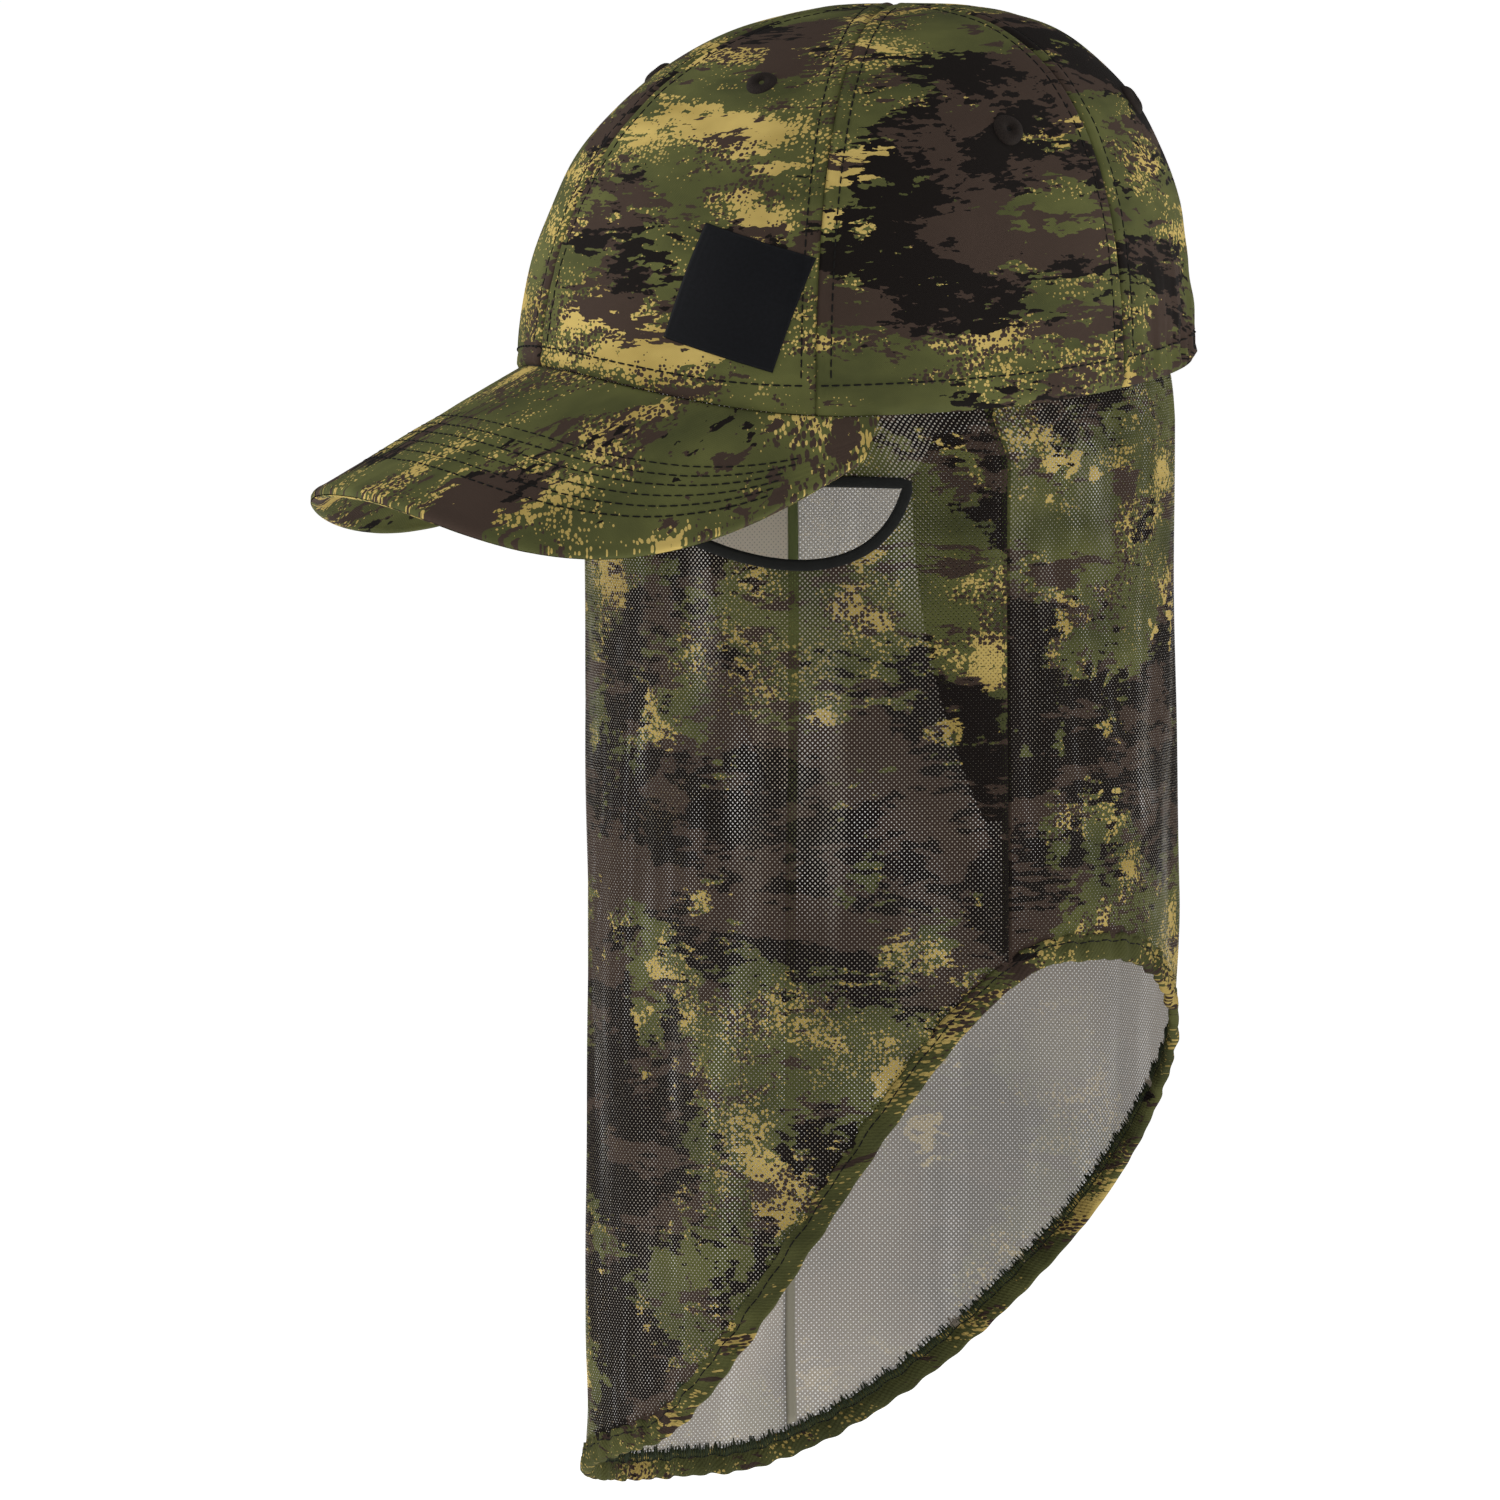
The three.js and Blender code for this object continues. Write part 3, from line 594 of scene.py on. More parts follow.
def crown_height(angle, s):
    power = profile_power(angle)
    low = np.arcsin((edge_height(angle) / CROWN_HEIGHT) ** (power / 2))
    high = np.arccos((TOP_RADIUS / HALF_WIDTH) ** (power / 2))
    return CROWN_HEIGHT * np.sin(low + (high - low) * s) ** (2 / power)


def crown_normal(angle, height):
    angle, height = np.broadcast_arrays(np.asarray(angle, float), height)
    level = np.clip(height, 1 * MM, CROWN_HEIGHT - 0.6 * MM)
    around = crown_at(angle + 0.4, level) - crown_at(angle - 0.4, level)
    up = crown_at(angle, level + 0.3 * MM) - crown_at(angle, level - 0.3 * MM)
    normal = np.cross(around, up)
    return unit(normal)


def crown_stride(angle, height):
    """Metres along the crown for one degree, at a height."""
    step = crown_at(angle + 0.5, height) - crown_at(angle - 0.5, height)
    return np.linalg.norm(step, axis=-1)


def crown_skin(start, end, u, s, lift=0.0):
    """A point of the sewn crown, with its seams, stitch furrows and wrinkles. u runs from one
    seam to the next and s from the edge to the top."""
    u, s = np.broadcast_arrays(np.asarray(u, float), np.asarray(s, float))
    angle = start + (end - start) * u
    height = crown_height(angle, s)
    stride = crown_stride(angle, height) * abs(end - start)
    from_seam = np.minimum(u, 1 - u) * stride
    climb = np.linalg.norm(crown_at(angle, height) - crown_at(angle, edge_height(angle)),
                           axis=-1)
    level = crown_at(angle, height)
    furrow = np.exp(-((from_seam - SEAM_STITCH_FROM_EDGE) / (0.8 * MM)) ** 2)
    pucker = np.exp(-((from_seam - SEAM_STITCH_FROM_EDGE) / (5 * MM)) ** 2)
    phase = climb / (5.2 * MM) + 3 * np.sin(climb / (31 * MM)) + start
    push = -0.75 * MM * np.exp(-(from_seam / (0.9 * MM)) ** 2)
    push = push + 0.22 * MM * np.exp(-((from_seam - 2.2 * MM) / (1.3 * MM)) ** 2)
    push = push - 0.20 * MM * furrow + 0.10 * MM * pucker * np.sin(phase * 2 * math.pi / 1.9)
    push = push - 0.25 * MM * np.exp(-((climb - 4.3 * MM) / (0.9 * MM)) ** 2)
    push = push + 0.20 * MM * np.exp(-((climb - 2.2 * MM) / (1.2 * MM)) ** 2)
    push = push - 0.55 * MM * np.exp(-(climb / (0.8 * MM)) ** 2)
    broad = ripple(level[..., 0] / (34 * MM) + level[..., 1] / (29 * MM),
                   level[..., 2] / (26 * MM), 3)
    inner = smoothstep(from_seam, 2 * MM, 16 * MM)
    push = push + 0.55 * MM * broad * inner
    around = np.abs((angle + 180) % 360 - 180)
    gathered = smoothstep(around, 108, 140) * np.exp(-climb / (16 * MM))
    pleat = np.sin(angle * 1.05 + 1.5 * np.sin(angle * 0.21)) + 0.5 * np.sin(angle * 2.3)
    push = push + 1.0 * MM * gathered * pleat * smoothstep(climb, 0, 3 * MM)
    crease = smoothstep(around, 75, 120) * np.exp(-((climb - 24 * MM) / (16 * MM)) ** 2)
    push = push + 0.7 * MM * crease * ripple(angle / 9, climb / (12 * MM), 5) * inner
    return level + crown_normal(angle, height) * (push + lift)[..., None]


def crown_panels():
    panels = {"front": (0, 1), "side": (1, 2), "back": (2, 3)}
    shifts = {"front": (0.11, 0.03), "side": (0.52, 0.31), "back": (0.87, 0.62)}
    for side, sign in SIDES.items():
        for place, (a, b) in panels.items():
            start, end = sign * SEAMS[a], sign * SEAMS[b]
            u, s = np.meshgrid(np.linspace(0, 1, 97), np.linspace(0, 1, 131), indexing="ij")
            outer = crown_skin(start, end, u, s)
            angle = start + (end - start) * u
            height = crown_height(angle, s)
            inner = outer - crown_normal(angle, height) * CLOTH_THICKNESS
            middle = (start + end) / 2
            width = (angle - middle) * crown_stride(angle, height) * sign
            climb = np.concatenate([np.zeros((97, 1)), np.cumsum(np.linalg.norm(
                np.diff(outer, axis=1), axis=-1), axis=1)], axis=1)
            uv = np.stack([width, climb + edge_height(angle)], -1)
            shift = shifts[place]
            dark = {"front": 0.0, "side": 0.05, "back": 0.03}[place]
            cloth = camo_cloth(f"camo_{place}_{side}",
                               (shift[0] + (0.23 if sign < 0 else 0), shift[1], 0),
                               0.10 * sign if place == "back" else 0.0, dark,
                               0.02 if place == "front" else 0.0)
            obj = cloth_object(f"panel_{place}_{side}", outer, inner, uv, [cloth, LINING_GREY])
            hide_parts(f"crown_{place}_{side}")
            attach(obj, CAP)


def stitch_path(start, end, u, s, lift=0.1 * MM):
    points = crown_skin(start, end, u, s, lift)
    angle = start + (end - start) * np.asarray(u)
    return points, crown_normal(angle, crown_height(angle, s))


def crown_stitching():
    rows = []
    bands = [(SEAMS[i], SEAMS[i + 1]) for i in range(3)]
    for sign in SIDES.values():
        for low, high in bands:
            start, end = sign * low, sign * high
            s = np.linspace(0.035, 0.95, 260)
            for seam_side in (0, 1):
                u = np.full_like(s, 0.05)
                for _ in range(4):
                    share = u if seam_side == 0 else 1 - u
                    angle = start + (end - start) * share
                    width = crown_stride(angle, crown_height(angle, s)) * abs(end - start)
                    u = np.clip(SEAM_STITCH_FROM_EDGE / width, 0, 0.5)
                fits = u < 0.42
                share = u if seam_side == 0 else 1 - u
                rows.append(stitch_path(start, end, share[fits], s[fits]))
            u = np.linspace(0.01, 0.99, 120)
            rows.append(stitch_path(start, end, u, np.full_like(u, 0.028)))
    obj = stitches("crown_stitching", rows, DARK_THREAD)
    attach(obj, CAP)


def eyelets():
    """Rings of thread worked round small holes, one in each panel."""
    for side, sign in SIDES.items():
        for place in ("front", "side", "back"):
            low, high = (np.array(v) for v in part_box(f"eyelet_{place}_{side}"))
            centre = (low + high) / 2
            flat = crown_frame(centre)
            turns, rings = 96, 15
            theta = np.arange(turns) * 2 * math.pi / turns
            radius = np.linspace(0.7 * MM, 4.7 * MM, rings)
            dome = np.sin(np.linspace(0.16, math.pi, rings)) ** 0.7
            ridge = 0.11 * MM * np.sin(theta * 32)[:, None] * dome[None]
            wobble = 1 + 0.03 * np.sin(theta * 3 + sign)[:, None] * (radius > 3 * MM)
            height = dome[None] * 1.3 * MM + ridge + 0.15 * MM
            outer = ring_points(flat, theta, radius[None] * wobble, height)
            inner = ring_points(flat, theta, radius[None] * wobble, height * 0 - 0.7 * MM)
            uv = np.stack(np.meshgrid(np.arange(turns + 1) / turns, radius / MM,
                                      indexing="ij"), -1)
            obj = cloth_object(f"eyelet_ring_{place}_{side}", outer, inner, uv,
                               [EYELET_THREAD], ring=True)
            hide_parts(f"eyelet_{place}_{side}")
            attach(obj, CAP)
            # a dark disc closes each hole: painted shade standing in for the open hole
            hole = ring_points(flat, theta, np.array([[0.02, 0.9]]) * MM,
                               np.array([[0.5, 0.5]]) * MM)
            base = ring_points(flat, theta, np.array([[0.02, 0.9]]) * MM,
                               np.array([[-0.3, -0.3]]) * MM)
            hole_shade_disc = cloth_object(f"eyelet_hole_{place}_{side}", hole, base,
                                uv[:, :2], [DARK_THREAD], ring=True)
            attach(hole_shade_disc, CAP)


def crown_frame(near):
    """The place on the crown nearest a point, with its axes: (point, across, up, out)."""
    angles, heights = np.meshgrid(np.linspace(-180, 180, 721),
                                  np.linspace(30 * MM, CROWN_HEIGHT, 180), indexing="ij")
    places = crown_at(angles, heights)
    best = np.unravel_index(np.linalg.norm(places - near, axis=-1).argmin(), angles.shape)
    angle, height = angles[best], heights[best]
    out = crown_normal(angle, height)
    across = np.cross([0, 0, 1], out)
    across /= np.linalg.norm(across)
    return places[best], across, np.cross(out, across), out


def ring_points(flat, theta, radius, height):
    centre, across, up, out = flat
    radius, height = np.broadcast_arrays(radius, height)
    if radius.shape[0] == 1:
        radius = np.repeat(radius, len(theta), 0)
        height = np.repeat(height, len(theta), 0)
    return (centre + across * (radius * np.cos(theta)[:, None])[..., None]
            + up * (radius * np.sin(theta)[:, None])[..., None] + out * height[..., None])


def patch():
    """A plain square of matt film on the left front panel, with a pressed border line."""
    size, lean, count = 34 * MM, math.radians(16.7), 45
    angle0, height0 = 47.4, 33 * MM
    ticks = np.linspace(-0.5, 0.5, count)
    a, b = np.meshgrid(ticks * size, ticks * size, indexing="ij")
    rise = np.linalg.norm(crown_at(angle0, height0 + MM) - crown_at(angle0, height0 - MM)) / 2
    level = height0 + (b * math.cos(lean) - a * math.sin(lean)) / (rise / MM)
    angle = angle0 + (a * math.cos(lean) + b * math.sin(lean)) / crown_stride(angle0, level)
    start, end = SEAMS[0], SEAMS[1]
    edge = size / 2 - np.maximum(np.abs(a), np.abs(b))
    lift = 0.42 * MM * smoothstep(edge, -0.5 * MM, 0.5 * MM)
    lift = lift - 0.10 * MM * np.exp(-((edge - 1.6 * MM) / (0.35 * MM)) ** 2)
    share = (angle - start) / (end - start)
    grid = np.linspace(0, 1, 600)
    s = np.empty_like(level)
    for i, j in np.ndindex(level.shape):
        s[i, j] = np.interp(level[i, j], crown_height(angle[i, j], grid), grid)
    outer = crown_skin(start, end, share, s, lift)
    inner = crown_skin(start, end, share, s, 0.02 * MM)
    obj = cloth_object("patch_film", outer, inner, np.stack([a, b], -1), [film_look()])
    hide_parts("front_patch")
    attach(obj, CAP)


def inner_band(name, node, inset, thickness, rise, height, material, columns=240):
    """A soft band inside the head opening, with rolled edges and slight waves."""
    angle, share = np.meshgrid(np.linspace(0, 360, columns + 1), np.linspace(0, 1, 15),
                               indexing="ij")
    level = edge_height(angle) + rise + share * height
    around = np.abs((angle + 180) % 360 - 180)
    wave = 0.35 * MM * np.sin(np.radians(angle * 60)) * smoothstep(around, 120, 150)
    roll = 0.45 * MM * np.abs(2 * share - 1) ** 6
    depth = inset + wave * (1 - share) + roll
    normal = crown_normal(angle, level)
    outer = crown_at(angle, level) - normal * depth[..., None]
    inner = crown_at(angle, level) - normal * (depth + thickness - 1.6 * roll)[..., None]
    uv = np.stack([np.radians(angle) * 0.09, share * height], -1)
    obj = cloth_object(name, outer[:-1], inner[:-1], uv, [material], ring=True)
    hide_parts(node)
    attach(obj, CAP)


# ---------------------------------------------------------------- the brim


def brim_free_height(x, y):
    slope = EDGE_SADDLE + BRIM_SLOPE * (y + HALF_LENGTH)
    return slope - BRIM_CURL * np.abs(x / BRIM_HALF_WIDTH) ** BRIM_CURL_POWER


def brim_top(u, v):
    u, v = np.broadcast_arrays(np.asarray(u, float), np.asarray(v, float))
    root_angle = u * BRIM_END
    low = edge_height(root_angle)
    root = crown_at(root_angle, low) - crown_normal(root_angle, low) * CLOTH_THICKNESS / 2
    sweep = np.pi / 2 * u
    power = 2 / BRIM_SQUARENESS
    root_y = -HALF_LENGTH * math.cos(math.radians(BRIM_END))
    edge_x = np.sign(u) * BRIM_HALF_WIDTH * np.abs(np.sin(sweep)) ** power
    edge_y = root_y + (BRIM_TIP_Y - root_y) * np.maximum(np.cos(sweep), 0) ** power
    x = root[..., 0] + (edge_x - root[..., 0]) * v
    y = root[..., 1] + (edge_y - root[..., 1]) * v
    at_root = low - BRIM_ROOT_DROP - brim_free_height(root[..., 0], root[..., 1])
    return np.stack([x, y, brim_free_height(x, y) + (1 - v) * at_root], -1)


def brim_grid(side):
    """The brim's outer (side 1, top) or under (side -1) cover, and its inner face."""
    u, v = np.meshgrid(np.sin(np.linspace(-1, 1, 221) * np.pi / 2) * 0.985,
                       np.linspace(0, 1, 91), indexing="ij")
    middle = brim_top(u, v)
    up = grid_normals(middle, np.array([0.0, 0, 1]))
    length = np.linalg.norm(brim_top(u, 1.0) - brim_top(u, 0.0), axis=-1)
    from_edge = (1 - v) * length
    half = BRIM_THICKNESS / 2
    rim = np.sqrt(np.clip(1 - (1 - np.clip(from_edge / (2.2 * MM), 0, 1)) ** 2, 0.02, 1))
    rim = rim * (1 + 0.10 * np.exp(-((from_edge - 3.0 * MM) / (1.2 * MM)) ** 2))
    height = half * rim
    for row in BRIM_ROWS:
        gap = (v - row) * length
        height = height - 0.22 * MM * np.exp(-(gap / (0.7 * MM)) ** 2)
    quilt = 0.10 * MM * ripple(middle[..., 0] / (9 * MM), middle[..., 1] / (9 * MM), 2)
    height = height + quilt * rim * smoothstep(v, 0, 0.1)
    centre = middle - up * half
    outer = centre + up * (side * height)[..., None]
    inner = centre + up * (side * np.maximum(height - 0.7 * MM, 0.15 * MM))[..., None]
    return u, v, outer, inner, up * side


def brim_covers():
    for side, name in ((1, "top"), (-1, "under")):
        u, v, outer, inner, _ = brim_grid(side)
        turn = 1.75 if side > 0 else 1.4
        # the under cover's print gets less brown and more tan than the top's: painted light,
        # making up for the little lamp light that reaches the underside
        cloth = camo_cloth(f"camo_brim_{name}", (0.61 * side, 0.4, 0), turn,
                           0.0 if side > 0 else -0.03, 0.015 if side > 0 else 0.03)
        uv = outer[..., :2].copy()
        obj = cloth_object(f"brim_cover_{name}", outer, inner, uv, [cloth])
        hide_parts(f"brim_{name}_cover")
        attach(obj, CAP)


def brim_stitching():
    rows = []
    for side in (1, -1):
        u, v, outer, _, normal = brim_grid(side)
        for row in BRIM_ROWS:
            line_u = slice(34, -34)
            column = row * (outer.shape[1] - 1)
            low, share = int(column), column - int(column)
            points = outer[line_u, low] * (1 - share) + outer[line_u, low + 1] * share
            up = normal[line_u, low]
            rows.append((points + up * 0.1 * MM, up))
    obj = stitches("brim_stitching", rows, DARK_THREAD)
    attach(obj, CAP)


# ---------------------------------------------------------------- the net's surface


def hem_height(angle):
    past = (np.asarray(angle, float) - HEM_HIGHEST_AT + 180) % 360 - 180
    away = np.abs(past)
    steep = smoothstep(away, HEM_SLOPE_START, HEM_SLOPE_FRONT)
    trail = smoothstep(away, HEM_SLOPE_START, HEM_TRAIL_END)
    front = steep + (trail - steep) * HEM_TRAIL_SHARE
    fall = np.where(past < 0, front, smoothstep(away, HEM_SLOPE_START, HEM_SLOPE_BACK))
    return HEM_HIGH + (HEM_LOW - HEM_HIGH) * fall


def net_base(angle, height):
    angle, height = np.broadcast_arrays(np.asarray(angle, float), np.asarray(height, float))
    turn = np.radians(angle)
    tube = np.stack([NET_HALF_WIDTH * np.sin(turn), NET_SHIFT - NET_HALF_LENGTH * np.cos(turn),
                     height], -1)
    foot = edge_height(angle) + NET_BAND_RISE
    level = np.maximum(height, foot)
    band = crown_at(angle, level) - crown_normal(angle, level) * NET_INSET_AT_TOP
    band[..., 2] = height
    free = 1 - smoothstep(height, foot - NET_FLARE, foot)
    return band * (1 - free[..., None]) + tube * free[..., None]


def net_out(angle):
    turn = np.radians(np.asarray(angle, float))
    out = np.stack([np.sin(turn) / NET_HALF_WIDTH, -np.cos(turn) / NET_HALF_LENGTH,
                    np.zeros_like(turn)], -1)
    return unit(out)


def net_folds(angle, height):
    """How far the hanging net stands in or out: gathers below the band, folds that fan out
    behind the side seams, and long soft folds that grow towards the hem."""
    drop = np.clip(-height / 0.3, 0, 1)
    turn = np.radians(angle)
    long_folds = (1.5 * np.sin(7 * turn + 0.6 + 1.2 * drop) + 0.9 * np.sin(11 * turn + 2.0)
                  + 0.7 * np.sin(17 * turn - 2.5 * drop)) * smoothstep(drop, 0.12, 0.8)
    gathers = np.sin(33 * turn + 1.5 * np.sin(5 * turn)) * 0.4 * np.exp(-drop / 0.15)
    around = np.abs((angle + 180) % 360 - 180)
    behind = around - NET_SEAM
    spread = 7 + 55 * drop
    fan = 0
    for k, centre in enumerate((0.22, 0.75, 1.25)):
        ray = (behind - centre * spread) / (2.2 + 9 * drop)
        fan = fan + (1.9 - 0.3 * k) * np.exp(-ray ** 2)
    fan = fan * smoothstep(drop, 0.03, 0.15) * (1 - smoothstep(drop, 0.35, 0.8))
    slack = 0.3 * ripple(turn * 5, height / (45 * MM), 1)
    return (long_folds + gathers - fan + slack) * MM


def net_skin(angle, height, inset=0.0):
    angle, height = np.broadcast_arrays(np.asarray(angle, float), np.asarray(height, float))
    top = edge_height(angle) + NET_BAND_RISE
    free = smoothstep(top - height, 0, 12 * MM)
    hem = smoothstep(height - hem_height(angle), 2 * MM, 40 * MM)
    eye = eye_distance(angle, height)
    calm = smoothstep(eye, 2 * MM, 16 * MM)
    push = net_folds(angle, height) * free * (0.12 + 0.88 * hem) * calm - inset
    return net_base(angle, height) + net_out(angle) * push[..., None]


def eye_outline(count=160):
    """The eye opening's edge as (angle, height in metres), counted from the front."""
    (ix, iz), (ox, oz) = EYE_CORNERS
    t = np.linspace(0, 1, count // 2, endpoint=False)[:, None]
    inner, outer, bow = np.array([ix, iz]), np.array([ox, oz]), np.array(EYE_TOP)
    low = [np.array(p) for p in EYE_LOW]
    top = (1 - t) ** 2 * inner + 2 * t * (1 - t) * bow + t ** 2 * outer
    under = ((1 - t) ** 3 * outer + 3 * t * (1 - t) ** 2 * low[0]
             + 3 * t ** 2 * (1 - t) * low[1] + t ** 3 * inner)
    line = np.concatenate([top, under])
    return line * np.array([1, MM])


EYE_LINE = eye_outline()
NET_DEGREE = math.pi / 180 * 0.079


def eye_distance(angle, height):
    """Metres outside the nearest eye opening's edge, and 0 inside it."""
    angle, height = np.broadcast_arrays(np.asarray(angle, float), np.asarray(height, float))
    wrapped = (angle + 180) % 360 - 180
    flat = np.stack([np.abs(wrapped) * NET_DEGREE, height], -1)
    line = EYE_LINE * np.array([NET_DEGREE, 1])
    distance = np.full(angle.shape, np.inf)
    inside = np.zeros(angle.shape, bool)
    for (ax, ay), (bx, by) in zip(line, np.roll(line, -1, axis=0)):
        distance = np.minimum(distance, np.hypot(flat[..., 0] - ax, flat[..., 1] - ay))
        crosses = (ay > flat[..., 1]) != (by > flat[..., 1])
        slope = (bx - ax) / (by - ay + 1e-12)
        inside ^= crosses & (flat[..., 0] < ax + slope * (flat[..., 1] - ay))
    return np.where(inside, 0, distance)


def above_hem(angle, distance):
    stride = NET_DEGREE * 2
    slope = (hem_height(angle + 1) - hem_height(angle - 1)) / stride
    return hem_height(angle) + distance * np.hypot(1, slope)


def gathers_with_hem(obj):
    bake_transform(obj)


def net_panel(name, node, start, end, columns, rows, materials, holes=False):
    angle, share = np.meshgrid(np.linspace(start, end, columns), np.linspace(0, 1, rows),
                               indexing="ij")
    top = edge_height(angle) + NET_BAND_RISE + NET_BAND_HEIGHT
    height = top + (above_hem(angle, 6 * MM) - top) * share
    outer = net_skin(angle, height)
    inner = net_skin(angle, height, NET_THICKNESS)
    uv = np.stack([angle * NET_DEGREE, height], -1)
    keep = None
    if holes:
        middle = (angle[:-1, :-1] + angle[1:, 1:]) / 2
        level = (height[:-1, :-1] + height[1:, 1:]) / 2
        keep = eye_distance(middle, level) > 0.9 * MM
    obj = cloth_object(name, outer, inner, uv, materials, keep=keep)
    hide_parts(node)
    gathers_with_hem(obj)
    return obj


def net_side_pieces(side, sign):
    rows = np.linspace(0, 1, 150)
    width = 1.3 / (NET_DEGREE / MM)
    angle, share = np.meshgrid(sign * (NET_SEAM + np.array([-width, -width / 3, width / 3,
                                                            width])), rows, indexing="ij")
    top = edge_height(angle) + NET_BAND_RISE + NET_BAND_HEIGHT - MM
    height = top + (above_hem(angle, 9 * MM) - top) * share
    outer = net_skin(angle, height, 0.62 * MM)
    inner = net_skin(angle, height, 1.15 * MM)
    tape = cloth_object(f"net_tape_{side}", outer, inner,
                        np.stack([angle * NET_DEGREE, height], -1), [TAPE_OLIVE])
    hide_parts(f"net_seam_tape_{side}")
    gathers_with_hem(tape)

    share, level = np.meshgrid(np.linspace(0, 1, 16), np.linspace(0, 1, 80), indexing="ij")
    finish_at = NET_SEAM - width
    begin = FACING_START + (1 - smoothstep(level, 0, 0.12)) * 7 + 15 * level ** 2.4
    angle = sign * (begin + (finish_at - begin) * share)
    height = FACING_TOP - level * FACING_LENGTH
    outer = net_skin(angle, height, 0.62 * MM)
    inner = net_skin(angle, height, 1.1 * MM)
    uv = np.stack([angle * NET_DEGREE * sign + 0.4 * MM, height + 0.45 * MM], -1)
    facing = cloth_object(f"net_facing_{side}", outer, inner, uv, [NET_OUTSIDE, FACING_INSIDE])
    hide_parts(f"net_side_facing_{side}")
    gathers_with_hem(facing)


def eye_binding(side, sign):
    """The opening's edge is bound: a soft folded strip on both faces of the net."""
    line = EYE_LINE.copy()
    origin = net_skin(sign * line[:, 0], line[:, 1])
    out = net_out(sign * line[:, 0])
    along = unit(np.roll(origin, -1, axis=0) - np.roll(origin, 1, axis=0))
    across = unit(np.cross(out, along) * sign)
    blur = sum(np.roll(across, k, axis=0) for k in (-1, 0, 1))
    across = unit(blur)
    section = [(-0.5, 0.15), (-0.35, 0.6), (0.3, 0.85), (1.4, 0.72), (2.4, 0.75), (2.7, 0.5),
               (2.7, 0.02), (0.4, 0.02), (0.4, -0.52), (2.6, -0.52), (2.6, -0.95),
               (1.2, -1.2), (0.1, -1.25), (-0.45, -0.9)]
    obj = swept_object(f"eye_bound_{side}", origin, across, out,
                       np.array(section) * MM, 1.0, BINDING)
    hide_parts(f"eye_binding_{side}")
    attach(obj, CAP)


def hem_frame(count=520):
    angle = np.linspace(0, 360, count, endpoint=False)
    origin = net_skin(angle, hem_height(angle))
    out = net_out(angle)
    along = unit(np.roll(origin, -1, axis=0) - np.roll(origin, 1, axis=0))
    across = np.cross(out, along)
    across = unit(across * np.sign(across[:, 2:]))
    return angle, origin, across, out


def hem_print(mesh, angle, section):
    """Lays the net's print on the hem, round by angle and up by height."""
    corners = np.array([loop.vertex_index for loop in mesh.loops])
    station, place = np.divmod(corners, len(section))
    cell = np.arange(len(corners)) // 4 // len(section)
    past_the_seam = (cell == len(angle) - 1) & (station == 0)
    turn = angle[station] + np.where(past_the_seam, 360, 0)
    level = hem_height(turn) + section[place, 0]
    mesh.uv_layers["Cloth"].uv.foreach_set(
        "vector", np.stack([turn * NET_DEGREE, level], -1).astype(np.float32).ravel())


def hem_pieces():
    """The folded hem, with its stitch line and the overlocked edge inside it."""
    angle, origin, across, out = hem_frame(760)
    wave = 0.35 * MM * np.sin(np.radians(angle) * 74) + 0.25 * MM * np.sin(
        np.radians(angle) * 47 + 1)
    origin = origin + out * wave[:, None] + across * (wave * 0.6)[:, None]
    section = [(0.0, -0.35), (0.1, 0.45), (0.8, 0.95), (2.6, 1.0), (4.6, 0.75), (5.4, 0.3),
               (6.2, 0.4), (7.4, 0.3), (7.4, 0.06), (5.6, 0.06), (5.6, -0.36), (7.6, -0.36),
               (7.6, -0.75), (6.3, -1.0), (5.4, -0.8), (4.6, -1.35), (2.6, -1.7),
               (0.8, -1.6), (0.1, -1.1)]
    section = np.array(section) * MM
    obj = swept_object("hem_fold", origin, across, out, section, 1.0, hem_cloth())
    hem_print(obj.data, angle, section)
    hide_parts("hem_casing", "hem_elastic")
    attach(obj, HEM)

    closed = np.r_[np.arange(len(angle)), 0]
    rows = []
    for level, depth, way in ((5.4, 0.36, 1), (5.4, -0.86, -1)):
        points = origin + across * level * MM + out * depth * MM
        rows.append((points[closed], (out * way)[closed]))
    seam = stitches("hem_stitching", rows, DARK_THREAD, length=2.5 * MM, pitch=2.9 * MM,
                    radius=0.26 * MM)
    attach(seam, HEM)

    base = origin + across * 7.2 * MM - out * 0.85 * MM
    rows = []
    for i in range(len(angle)):
        reach = (1.5 + 0.6 * math.sin(i * 2.39) + 0.4 * math.sin(i * 0.71)) * MM
        lean = (0.5 * math.sin(i * 1.3)) * MM
        along = np.cross(across[i], out[i])
        start = base[i] - across[i] * 2.0 * MM
        tip = base[i] + across[i] * reach + along * lean
        rows.append((np.stack([start, (start + tip) / 2, tip]), -np.repeat(out[i:i + 1], 3, 0)))
    edge = thread_comb("hem_overlock", rows, OVERLOCK_THREAD, 0.34 * MM)
    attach(edge, HEM)


def thread_comb(name, rows, material, radius):
    """One thin thread along each short row of (points, normals)."""
    sides = 5
    vertices, faces = [], []
    for points, normals in rows:
        along = points[-1] - points[0]
        along = along / np.linalg.norm(along)
        up = normals[0]
        side = np.cross(up, along)
        start = len(vertices)
        for k, point in enumerate(points):
            r = radius * (0.55 if k in (0, len(points) - 1) else 1)
            for t in range(sides):
                turn = 2 * math.pi * t / sides
                vertices.append(point + (side * math.cos(turn) + up * math.sin(turn)) * r)
        for k in range(len(points) - 1):
            for t in range(sides):
                a, b = start + k * sides + t, start + k * sides + (t + 1) % sides
                faces.append([a, b, b + sides, a + sides])
        faces.append([start + t for t in reversed(range(sides))])
        faces.append([start + (len(points) - 1) * sides + t for t in range(sides)])
    obj = new_object(name, np.array(vertices), faces, [material])
    outward_faces(obj)
    return obj


# ---------------------------------------------------------------- looks of the CAD pieces


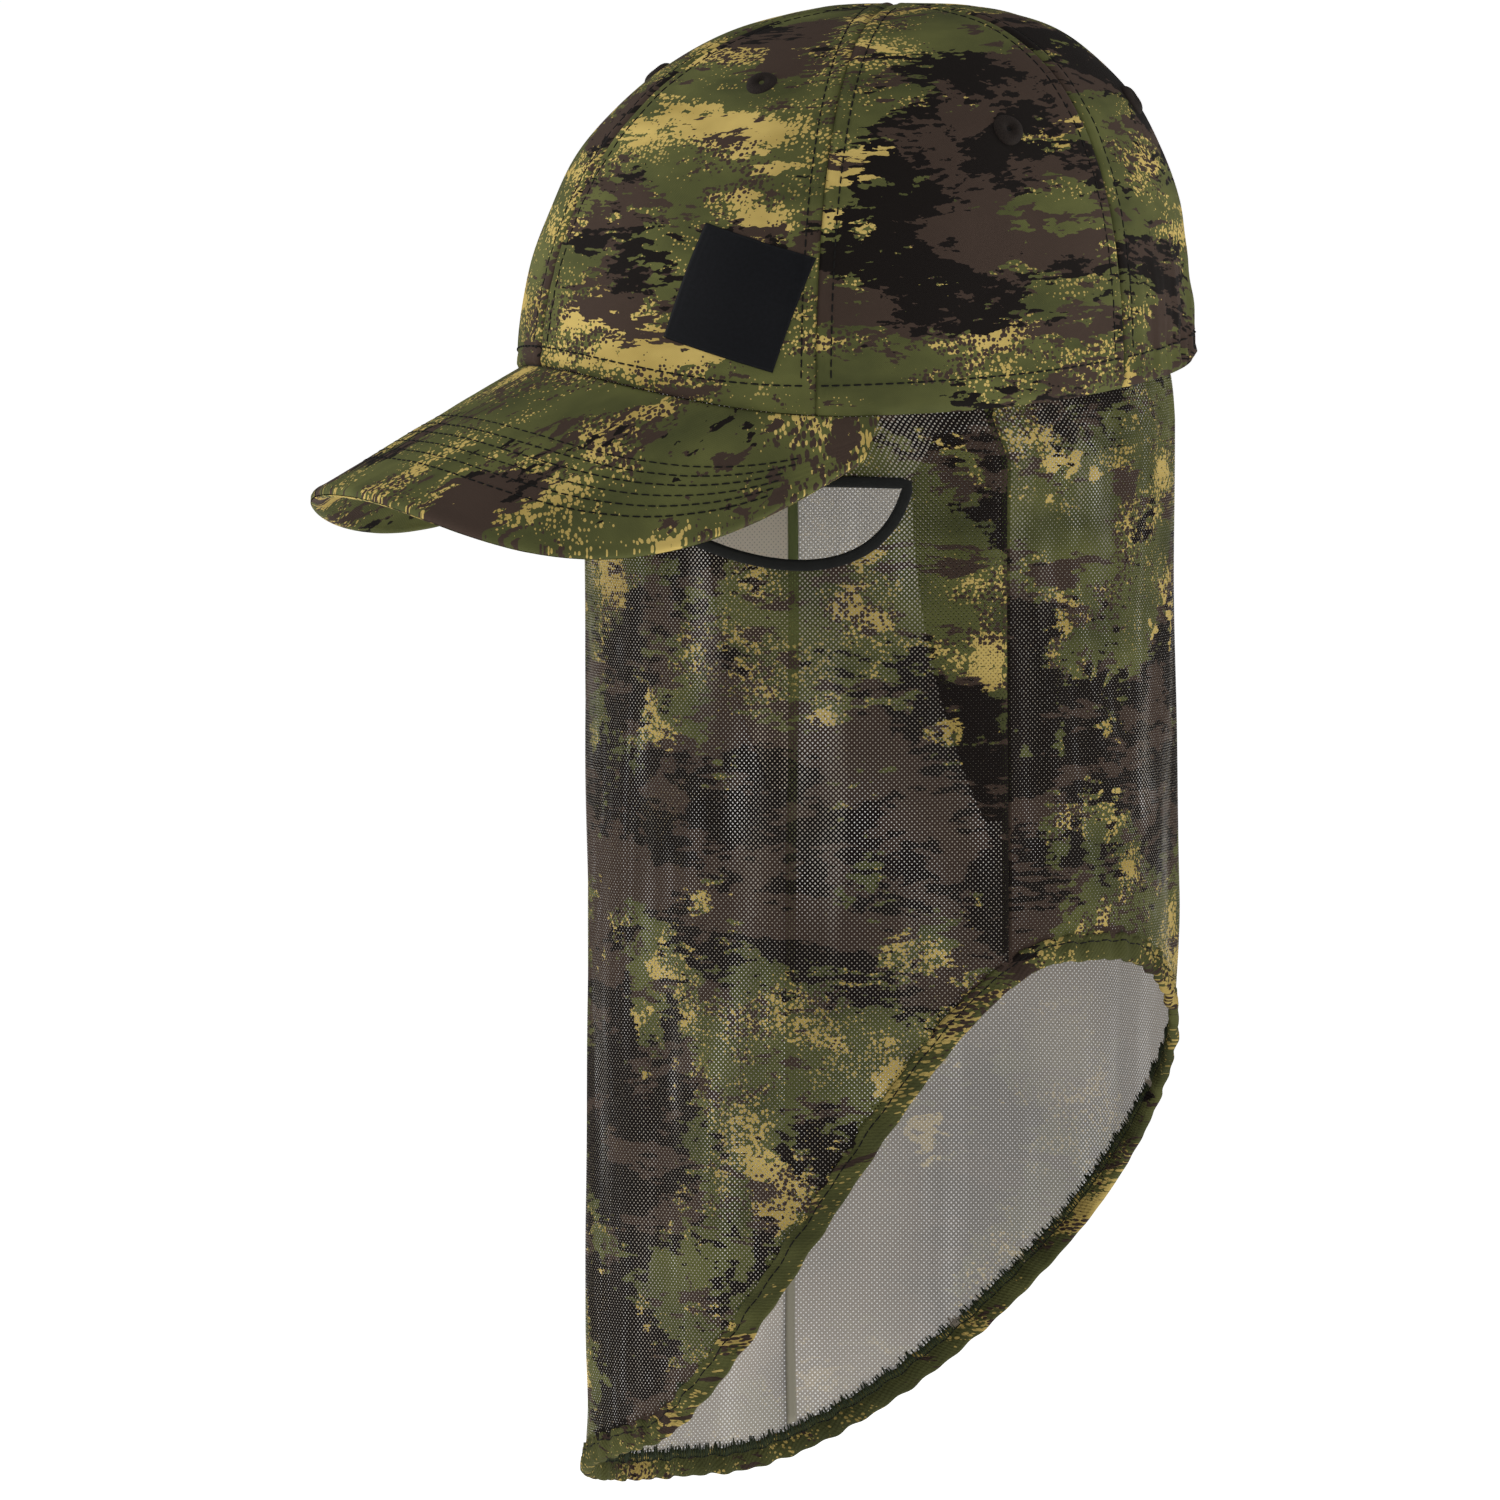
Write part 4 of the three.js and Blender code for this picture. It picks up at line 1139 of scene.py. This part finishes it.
def dress_cad():
    tape = plain_cloth("seam_tape_weave", linear(34, 34, 32), linear(22, 22, 21), by_place=True)
    lining = plain_cloth("buckram", linear(52, 52, 47), linear(36, 36, 33), pitch=1.4 * MM,
                         by_place=True)
    elastic = plain_cloth("black_elastic", linear(28, 28, 27), linear(16, 16, 16),
                          pitch=1.2 * MM, by_place=True)
    board = plain_cloth("brim_board_plastic", linear(40, 40, 40), linear(30, 30, 30),
                        roughness=0.6, sheen=0.0, by_place=True)
    looks = {"seam_tape": tape, "front_lining": lining, "back_elastic": elastic,
             "brim_board": board, "net_top_band": tape}
    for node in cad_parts:
        for start, material in looks.items():
            if node.startswith(start):
                obj = bpy.data.objects[node]
                obj.data.materials.clear()
                obj.data.materials.append(material)


# ---------------------------------------------------------------- studio

CAMERA_AZIMUTH = 64
CAMERA_ELEVATION = 4
CAMERA_DISTANCE = 8.0
VIEW_WIDTH = 426.1 * MM
AIM_RIGHT = -29.8 * MM
AIM_UP = -99.7 * MM


def studio():
    scene = bpy.context.scene
    scene.view_settings.view_transform = "Standard"
    azimuth = math.radians(CAMERA_AZIMUTH)
    elevation = math.radians(CAMERA_ELEVATION)
    back = Vector((math.sin(azimuth) * math.cos(elevation),
                   -math.cos(azimuth) * math.cos(elevation), math.sin(elevation)))
    right = Vector((math.cos(azimuth), math.sin(azimuth), 0))
    up = back.cross(right)
    aim = right * AIM_RIGHT + up * AIM_UP
    camera_data = bpy.data.cameras.new("camera")
    camera = bpy.data.objects.new("camera", camera_data)
    scene.collection.objects.link(camera)
    camera.location = aim + back * CAMERA_DISTANCE
    camera.rotation_euler = back.to_track_quat("Z", "Y").to_euler()
    camera_data.lens = camera_data.sensor_width * CAMERA_DISTANCE / VIEW_WIDTH
    camera_data.clip_end = 50
    scene.camera = camera

    world = bpy.data.worlds.new("studio")
    scene.world = world
    world.use_nodes = True
    tree = world.node_tree
    background = tree.nodes["Background"]
    path = tree.nodes.new("ShaderNodeLightPath")
    level = tree.nodes.new("ShaderNodeMapRange")
    level.inputs["To Min"].default_value = 0.2
    level.inputs["To Max"].default_value = 1.0
    tree.links.new(path.outputs["Is Camera Ray"], level.inputs["Value"])
    tree.links.new(level.outputs[0], background.inputs["Strength"])
    background.inputs["Color"].default_value = (1, 1, 1, 1)

    floor_look = bpy.data.materials.new("floor")
    floor_look.use_nodes = True
    shader = floor_look.node_tree.nodes["Principled BSDF"]
    shader.inputs["Base Color"].default_value = (0.93, 0.93, 0.92, 1)
    shader.inputs["Emission Color"].default_value = (1, 1, 1, 1)
    shader.inputs["Emission Strength"].default_value = 0.85
    size, height = 12, -0.42
    floor_mesh = bpy.data.meshes.new("floor")
    corners = [(-size, -size, height), (size, -size, height), (size, size, height),
               (-size, size, height)]
    floor_mesh.from_pydata(corners, [], [(0, 1, 2, 3)])
    floor_mesh.materials.append(floor_look)
    floor = bpy.data.objects.new("floor", floor_mesh)
    scene.collection.objects.link(floor)

    def lamp(name, azimuth, elevation, distance, size, power):
        a, e = math.radians(azimuth), math.radians(elevation)
        way = Vector((math.sin(a) * math.cos(e), -math.cos(a) * math.cos(e), math.sin(e)))
        data = bpy.data.lights.new(name, "AREA")
        data.shape = "RECTANGLE"
        data.size, data.size_y = size
        data.energy = power
        light = bpy.data.objects.new(name, data)
        light.location = Vector((0, 0, -0.08)) + way * distance
        light.rotation_euler = way.to_track_quat("Z", "Y").to_euler()
        scene.collection.objects.link(light)

    lamp("soft_left", -22, 18, 1.3, (0.8, 1.5), 13)
    lamp("soft_right", 152, 14, 1.3, (0.8, 1.5), 11)
    lamp("soft_top", 40, 75, 1.3, (1.0, 1.0), 5)
    lamp("soft_front", 50, 25, 2.2, (1.4, 1.4), 3)


# ---------------------------------------------------------------- the whole

studio()
crown_panels()
crown_stitching()
eyelets()
patch()
brim_covers()
brim_stitching()
inner_band("sweatband_fold", "sweatband", 3.1 * MM, 1.3 * MM, 1 * MM, 30 * MM, SWEAT_TWILL)
net_panel("net_face", "net_face_panel", -NET_SEAM, NET_SEAM, 200, 230,
          [NET_OUTSIDE, NET_INSIDE], holes=True)
net_panel("net_neck", "net_neck_panel", NET_SEAM, 360 - NET_SEAM, 150, 170,
          [NECK_OUTSIDE, NECK_INSIDE])
for side, sign in SIDES.items():
    net_side_pieces(side, sign)
    eye_binding(side, sign)
hem_pieces()
dress_cad()
